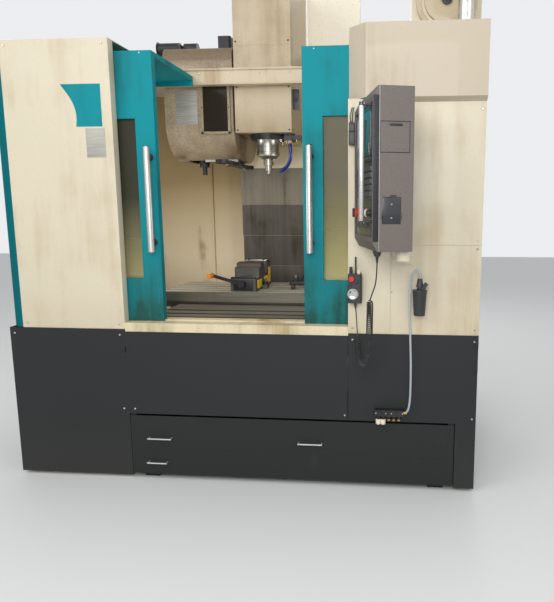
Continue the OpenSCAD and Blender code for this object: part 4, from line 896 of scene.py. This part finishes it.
# ---------------------------------------------------------------- head and spindle
fasteners("head_cover_screws", "head", "black_steel",
          [(s * 158, 710, z) for s in (-1, 1) for z in (1912, 2160, 2420)], FORWARD, 10, 3)
fasteners("head_side_screws", "head", "black_steel",
          [(172, y, z) for y in (730, 1000, 1300) for z in (1912, 2240)], RIGHT, 10, 3)
plates("head_cover_folds", "head", "head_paint",
       [((-172.6, 709, 1897), (172.6, 711, 1901)), ((-172.6, 709, 2398), (172.6, 710.4, 2401))], edge=0.5)
plates("head_fan_box", "head", "black_plastic", [((174, 737, 2032), (217, 740.2, 2148))],
       edge=1)
turned_part("head_fan_rings", "head", "black_steel", [(194, 737, 2090)],
            [(0, 17), (-3, 17), (-3, 14.5), (-1, 14), (-1, 11), (-3, 10.5), (-3, 8), (-1, 7.5), (-1, 4),
             (-3, 3.5)], axis="Y")
turned_part("barrel_rings", "head", "barrel_steel", [(0, SPINDLE_Y, 1764)],
            [(5, 68), (5, 69.4), (10, 70.2), (26, 70.2), (28, 68.4), (54, 68.4), (56, 70.4), (64, 70.4),
             (66, 68.4), (96, 68.6), (103, 74)], sides=64)
turned_part("head_flange", "head", "black_steel", [(0, SPINDLE_Y, 1867)],
            [(-0.6, 70), (-0.6, 102.4), (0, 103.2), (14.6, 103.2), (14.7, 108.7), (29, 108.7)], sides=64)
fasteners("spindle_face_screws", "spindle", "black_steel",
          on_circle(0, SPINDLE_Y, 1750, 37, [math.pi / 4 + k * math.pi / 2 for k in range(4)]), DOWN, 9, 3)


def bead_tree():
    """Cup-shaped links of the jointed hose along a path."""
    tree = Tree("hose_links", [("Step", 0.0095), ("Width", 0.023)])
    line = tree.add("GeometryNodeMeshToCurve", [("Mesh", tree.given.outputs["Geometry"])])
    spaced = tree.add("GeometryNodeResampleCurve", [("Curve", line.outputs[0]),
                                                    ("Length", tree.given.outputs["Step"])], mode="LENGTH")
    points = tree.add("GeometryNodeCurveToPoints", [("Curve", spaced.outputs[0])], mode="EVALUATED")
    cup = tree.add("GeometryNodeMeshCone", [("Radius Top", tree.times("Width", 0.36)),
                                            ("Radius Bottom", tree.times("Width", 0.5))], vertices=20)
    cup.inputs["Depth"].default_value = 0.0105
    copies = tree.add("GeometryNodeInstanceOnPoints", [("Points", points.outputs["Points"]),
                                                       ("Instance", cup.outputs["Mesh"]),
                                                       ("Rotation", points.outputs["Rotation"])])
    return tree.close(copies.outputs[0], "blue_joint")


hose_route = smooth_route([at(*p) for p in [(146, 786, 1833), (150, 776, 1812), (153, 766, 1780),
                                            (148, 765, 1735), (126, 775, 1700), (96, 790, 1680)]], 10)
hose_base = bpy.data.meshes.new("hose_line")
hose_base.from_pydata([tuple(p) for p in hose_route], [(k, k + 1) for k in range(len(hose_route) - 1)], [])
grown("jointed_hose", hose_base, bead_tree(), {"Step": 0.0095, "Width": 0.023}, "head", "blue_joint")
turned_part("hose_seat", "head", "orange", [(144, 792, 1852)],
            [(-24, 11), (-22, 13.5), (-12, 13.5), (-8, 11)])
turned_part("hose_socket", "head", "grey_hose", [(144, 792, 1858)],
            [(-14, 12), (-12, 14), (-2, 14), (0, 11)])
tip = (hose_route[-1] - hose_route[-4]).normalized()
nozzle = [hose_route[-1] + tip * d for d in (-0.004, 0.004, 0.012, 0.02, 0.026)]
finish_piece("hose_nozzle", tube_mesh("hose_nozzle", nozzle, 0, 18, [0.0105, 0.0105, 0.0085, 0.006, 0.0045]),
             "head", "blue_joint", smooth=True)
turned_part("coolant_fittings", "head", "brass",
            [(125, 790, 1857), (148, 862, 1857), (186, 796, 1863)],
            [(0, 9), (-6, 9), (-8, 6), (-20, 5.5), (-22, 4)], sides=24)
turned_part("coolant_jets", "head", "bright_steel",
            on_circle(0, SPINDLE_Y, 1863, 115, (-0.6, -0.2, 0.3, 0.9, 1.4)),
            [(0, 8), (-5, 8), (-8, 5.5), (-16, 4.5)], sides=20)

# ---------------------------------------------------------------- magazine and change arm
plates("magazine_plate", "frame", "plate", [((-540, 713.6, 1950), (-406, 715.2, 2150))],
       edge=0.5)
plates("magazine_window_frame", "frame", "magazine_paint",
       [((-384, 705, 1891), (-368, 711, 2199)), ((-217, 705, 1891), (-201, 711, 2199)),
        ((-384, 705, 1891), (-201, 711, 1906)), ((-384, 705, 2184), (-201, 711, 2199))], edge=1.5)
fasteners("magazine_window_screws", "frame", "black_steel",
          row((-376, 705, 1898), (-376, 705, 2192), 3) + row((-209, 705, 1898), (-209, 705, 2192), 3),
          FORWARD, 8, 2.5)
plates("magazine_lip", "frame", "plate", [((-421, 874.4, 1739), (-208, 876.2, 1774))],
       edge=0.5)
plates("magazine_folds", "frame", "magazine_paint",
       [((-611, 790, 2396), (-184, 1220, 2401.5)), ((-611, 714, 2300), (-184, 716, 2304))], edge=1)
fasteners("magazine_side_screws", "frame", "black_steel",
          row((-610, 760, 2380), (-610, 1240, 2380), 4) + row((-610, 780, 1960), (-610, 1220, 1960), 3),
          LEFT, 10, 3)
ARM_X, ARM_Y = -235, 916      # axis on which the change arm swings
fasteners("arm_screws", "atc_arm", "bright_steel",
          on_circle(ARM_X, ARM_Y, 1712, 38, [k * math.pi / 3 for k in range(6)]), DOWN, 9, 2.5)
turned_part("arm_claw_pins", "atc_arm", "bright_steel",
            [(ARM_X, ARM_Y + s * 188, 1712) for s in (-1, 1)], [(0, 10), (-2, 10), (-4, 7)])
turned_part("magazine_motor", "frame", "black_steel", [(-705, 942, 2442)],
            [(0, 40), (-14, 40), (-16, 48), (-18, 48), (-20, 44)], axis="X")

# ---------------------------------------------------------------- operator panel
def key_tree():
    """Block-shaped key caps, one on each point."""
    tree = Tree("key_caps", [("Width", 0.02), ("Height", 0.016)])
    given = tree.given.outputs
    size = tree.add("ShaderNodeCombineXYZ", [("X", given["Width"]), ("Y", given["Height"])])
    size.inputs["Z"].default_value = 0.005
    cap = tree.add("GeometryNodeMeshCube", [("Size", size.outputs[0])])
    turned = tree.add("FunctionNodeAxesToRotation", [("Primary Axis", tree.facing())], primary_axis="Z",
                      secondary_axis="Y")
    turned.inputs["Secondary Axis"].default_value = UP
    return tree.on_spots(cap.outputs["Mesh"], "key_grey", turned.outputs[0])


face_way = (-math.cos(PANEL_TURN), -math.sin(PANEL_TURN), 0)
side_way = (math.sin(PANEL_TURN), -math.cos(PANEL_TURN), 0)
keys = [(64 + i * 28, 1, 1503 + j * 26) for i in range(12) for j in range(5)]
keys += [(131 + i * 34, 1, 1371) for i in range(8)]
grown("panel_keys", spots_mesh("panel_key_spots", [on_panel(p) for p in keys], face_way), key_tree(),
      {"Width": 0.0205, "Height": 0.0185}, "panel", "key_grey")
plates("panel_display", "panel", "display", [((70, 2.4, 1672), (350, 4.4, 1842))], edge=0.6,
       turn=on_panel)
plates("panel_bezel", "panel", "screen_black",
       [((56, 1.2, 1658), (70, 4.4, 1856)), ((350, 1.2, 1658), (364, 4.4, 1856)),
        ((56, 1.2, 1842), (364, 4.4, 1856)), ((56, 1.2, 1658), (364, 4.4, 1672)),
        ((20, 4.0, 1638), (400, 6.2, 1641))], edge=1, turn=on_panel)
plates("panel_soft_keys", "panel", "key_grey",
       [((82 + 33 * k, 1.8, 1646), (106 + 33 * k, 4.4, 1655)) for k in range(8)], edge=0.8, turn=on_panel)
for name, u, finish in (("panel_dial_1", 70, "black_plastic"), ("panel_start", 160, "white_fitting"),
                        ("panel_hold", 200, "red_plastic")):
    turned_part(name, "panel", finish, [(u, 6, 1425)],
                [(0, 18), (-3, 18), (-4, 13), (-16, 12), (-18, 10)], axis="Y", turn=on_panel, sides=28)
turned_part("panel_stop_ring", "panel", "yellow", [(250, 6, 1425)],
            [(0, 30), (-2, 30), (-2.5, 28)], axis="Y", turn=on_panel)
plates("panel_hatch_frame", "panel", "black_steel",
       [((-0.8, 28.5, 1664), (1, 31, 1788)), ((-0.8, 151, 1664), (1, 153.5, 1788)),
        ((-0.8, 28.5, 1664), (1, 153.5, 1667.5)), ((-0.8, 28.5, 1785), (1, 153.5, 1788))],
       edge=0.5, turn=on_panel)
plates("panel_port_cover", "panel", "screen_black",
       [((2.4, 42, 1382), (5.8, 118, 1488)), ((-0.8, 70, 1491), (2, 100, 1498)),
        ((-0.8, 36, 1400), (2, 39.5, 1430)), ((-0.8, 121, 1400), (2, 124.5, 1430))], edge=1, turn=on_panel)
fasteners("panel_port_screws", "panel", "bright_steel",
          [(2.4, 80, 1405), (2.4, 80, 1460)], side_way, 9, 3, turn=on_panel)
fasteners("panel_corner_screws", "panel", "bright_steel",
          [(u, 170, z) for u in (30, 390) for z in (1290, 1600, 1900)],
          tuple(-c for c in face_way), 10, 3, turn=on_panel)
turned_part("panel_bar_sleeve", "panel", "grip_steel", [(20, -42, 1620)],
            [(-226, 10.3), (-225, 10.9), (225, 10.9), (226, 10.3)], turn=on_panel)
plates("panel_side_rim", "panel", "black_steel", [((-0.8, 1.5, 1309), (0.6, 26, 1886))],
       edge=0.5, turn=on_panel)
plates("panel_side_edge", "panel", "plate", [((-0.9, 26.4, 1272), (0.6, 29, 1922))],
       edge=0.5, turn=on_panel)
plates("panel_hatch_grip", "panel_hatch", "black_steel",
       [((-0.9, 70, 1768), (0.9, 122, 1777))], edge=0.6, turn=on_panel)
plates("panel_bar_grip", "panel", "bright_steel",
       [((14.5, -43, z), (25.5, -31.2, z + 8)) for z in (1382, 1850)], edge=1, turn=on_panel)
turned_part("panel_gland", "panel", "black_plastic", [(60, 34, 1245)],
            [(22, 19), (16, 19), (15, 16), (9, 16), (8, 14.6), (0, 13.4)], turn=on_panel, sides=24)
plates("panel_foot_stub", "panel", "black_plastic", [((300, 120, 1252), (345, 160, 1267))],
       edge=3, turn=on_panel)

# ---------------------------------------------------------------- handset, manifold, wash gun
turned_part("handset_dial", "frame", "plate", [(606, -50, 1030)],
            [(0, 27), (-1.2, 27), (-1.6, 25), (-1.6, 23)], axis="Y", sides=48)
turned_part("handset_wheel_rim", "handset_wheel", "bright_steel", [(606, -62, 1030)],
            [(0, 21.8), (-1, 22.6), (-2.4, 21), (-2.4, 17), (-1, 15), (-1, 6), (-2.6, 5), (-2.6, 1)],
            axis="Y", sides=48)
turned_part("handset_crank_knob", "handset_wheel", "black_plastic", [(594, -64, 1042)],
            [(0, 4.8), (-3, 5.4), (-13, 5), (-14, 3)], axis="Y", sides=24)
turned_part("handset_knobs", "frame", "black_plastic", [(626, -50, 1092), (590, -50, 1078)],
            [(0, 8), (-8, 7.4), (-9, 6)], axis="Y", sides=20)
plates("handset_ribs", "frame", "black_plastic",
       [((647.6, -42, 1000 + 12 * k), (649.4, -16, 1005 + 12 * k)) for k in range(10)], edge=0.6)
plates("handset_hook", "frame", "black_steel", [((585, -8, 1140), (600, 0, 1160))], edge=1.5)
turned_part("manifold_collars", "frame", "white_fitting",
            [(x, -18, 386) for x in (734, 758)],
            [(0, 9), (0, 12), (-2, 13), (-24, 13), (-27, 10.5), (-27, 6)], sides=28)
turned_part("manifold_release_rings", "frame", "brass",
            [(x, -18, 388) for x in (787, 812, 838)], [(0, 9), (-2, 9.5), (-9, 9), (-9, 6)], sides=28)
fasteners("manifold_screws", "frame", "bright_steel",
          [(x, -34, 421) for x in (722, 772, 800, 855)], FORWARD, 8, 2.5)
turned_part("wash_hose_union", "frame", "brass", [(862, -18, 420.5)],
            [(0, 9.5), (8, 9.5), (9, 8), (16, 7.4), (17, 5.8)], axis="X", sides=28)
turned_part("wash_cup_rim", "frame", "black_plastic", [(930, -46, 1048)],
            [(0, 30.5), (0, 35.4), (3, 36.4), (6.5, 35.6), (6.5, 30.5)], sides=48)

# ---------------------------------------------------------------- rear of the machine
plates("cabinet_louvres", "cabinet_door", "cream",
       [((-380, 2499.5, 700 + 26 * k), (-80, 2506, 712 + 26 * k)) for k in range(9)], edge=2.5)
plates("cabinet_hinges", "cabinet_door", "black_steel",
       [((596, 2499, z), (619, 2512, z + 90)) for z in (700, 1330, 1960)], edge=3)
plates("cabinet_lock", "cabinet_door", "black_plastic",
       [((-600, 2499.8, 1250), (-566, 2508, 1420)), ((-592, 2508, 1270), (-574, 2520, 1385))], edge=3)
plates("cabinet_air_unit", "cabinet_door", "cream", [((40, 2499.8, 1540), (460, 2520, 2080))],
       edge=6)
fasteners("cabinet_air_screws", "cabinet_door", "bright_steel",
          [(x, 2520, z) for x in (62, 438) for z in (1562, 1810, 2058)], BACK, 10, 3)
plates("cabinet_air_slats", "cabinet_door", "black_plastic",
       [((90, 2519, 1620 + 22 * k), (410, 2522, 1630 + 22 * k)) for k in range(18)], edge=1)
plates("main_switch_plate", "cabinet_door", "yellow",
       [((-462, 2499.8, 1458), (-378, 2501.2, 1542))], edge=0.5)
for k, (x, bend) in enumerate(((-430, 0), (-380, 30), (380, -30))):
    path = smooth_route([at(x, 2090, 2178), at(x, 2090, 2250), at(x + bend * 0.4, 2060, 2320),
                         at(x * 0.85, 1960, 2380), at(x * 0.7, 1888, 2400)], 8)
    finish_piece("rear_conduit_%d" % k, tube_mesh("rear_conduit", path, 0.014, 14), "frame", "cord_black",
                 smooth=True)
turned_part("rear_glands", "frame", "black_plastic",
            [(x, 2090, 2180) for x in (-430, -380, 380)], [(0, 24), (10, 24), (12, 19), (24, 17)], sides=28)
turned_part("column_motor_cap", "frame", "cord_black", [(0, 1461, 2750)],
            [(0, 70), (3, 70), (8, 64), (34, 62), (38, 56)], sides=48)

# ---------------------------------------------------------------- stage
SOFTBOXES = [      # place, what it faces, width, power
    ((-2.6, -4.4, 4.2), (0, -0.6, 1.3), 3.2, 90), ((3.6, -3.6, 3.8), (0.4, -0.6, 1.4), 2.6, 32),
    ((0.3, 3.6, 4.4), (0, 0.6, 1.2), 3.0, 80), ((0.6, -4.6, 2.3), (0, 0.2, 1.5), 1.6, 70)]
CHAMBER_LAMPS = [
    ((-1.08, -0.72, 1.45), (-0.1, 0.42, 1.3), 0.26, 6.5), ((1.08, -0.72, 1.45), (0.1, 0.42, 1.3), 0.26, 5)]


def make_stage():
    """Floor, even sky, softboxes round the machine and two small lamps in its chamber."""
    half = 14
    mesh = bpy.data.meshes.new("floor")
    mesh.from_pydata([(-half, -half, 0), (half, -half, 0), (half, half, 0), (-half, half, 0)], [],
                     [(0, 1, 2, 3)])
    floor = bpy.data.objects.new("floor", mesh)
    bpy.context.collection.objects.link(floor)
    material, _, shader = new_material("pale_floor")
    shader.inputs["Base Color"].default_value = (0.74, 0.75, 0.74, 1)
    shader.inputs["Roughness"].default_value = 0.55
    mesh.materials.append(material)
    world = bpy.data.worlds.new("studio")
    world.use_nodes = True
    bpy.context.scene.world = world
    w = Nodes(world.node_tree)
    air = next(x for x in w.tree.nodes if x.type == "BACKGROUND")
    path = w.add("ShaderNodeLightPath")
    seen = w.math("MAXIMUM", w.math("MAXIMUM", path.outputs["Is Camera Ray"], path.outputs["Is Glossy Ray"]),
                  path.outputs["Is Transmission Ray"])
    w.join(w.math("ADD", w.math("MULTIPLY", seen, 0.35), 0.55), air.inputs["Strength"])
    air.inputs["Color"].default_value = (0.93, 0.95, 0.97, 1)
    for place, aim, size, power in SOFTBOXES + CHAMBER_LAMPS:
        lamp = bpy.data.lights.new("softbox", "AREA")
        lamp.size = size
        lamp.energy = power
        holder = bpy.data.objects.new("softbox", lamp)
        bpy.context.collection.objects.link(holder)
        holder.location = place
        holder.visible_camera = False
        holder.rotation_euler = (Vector(aim) - Vector(place)).to_track_quat("-Z", "Y").to_euler()


make_stage()
bpy.context.scene.view_settings.view_transform = "Standard"
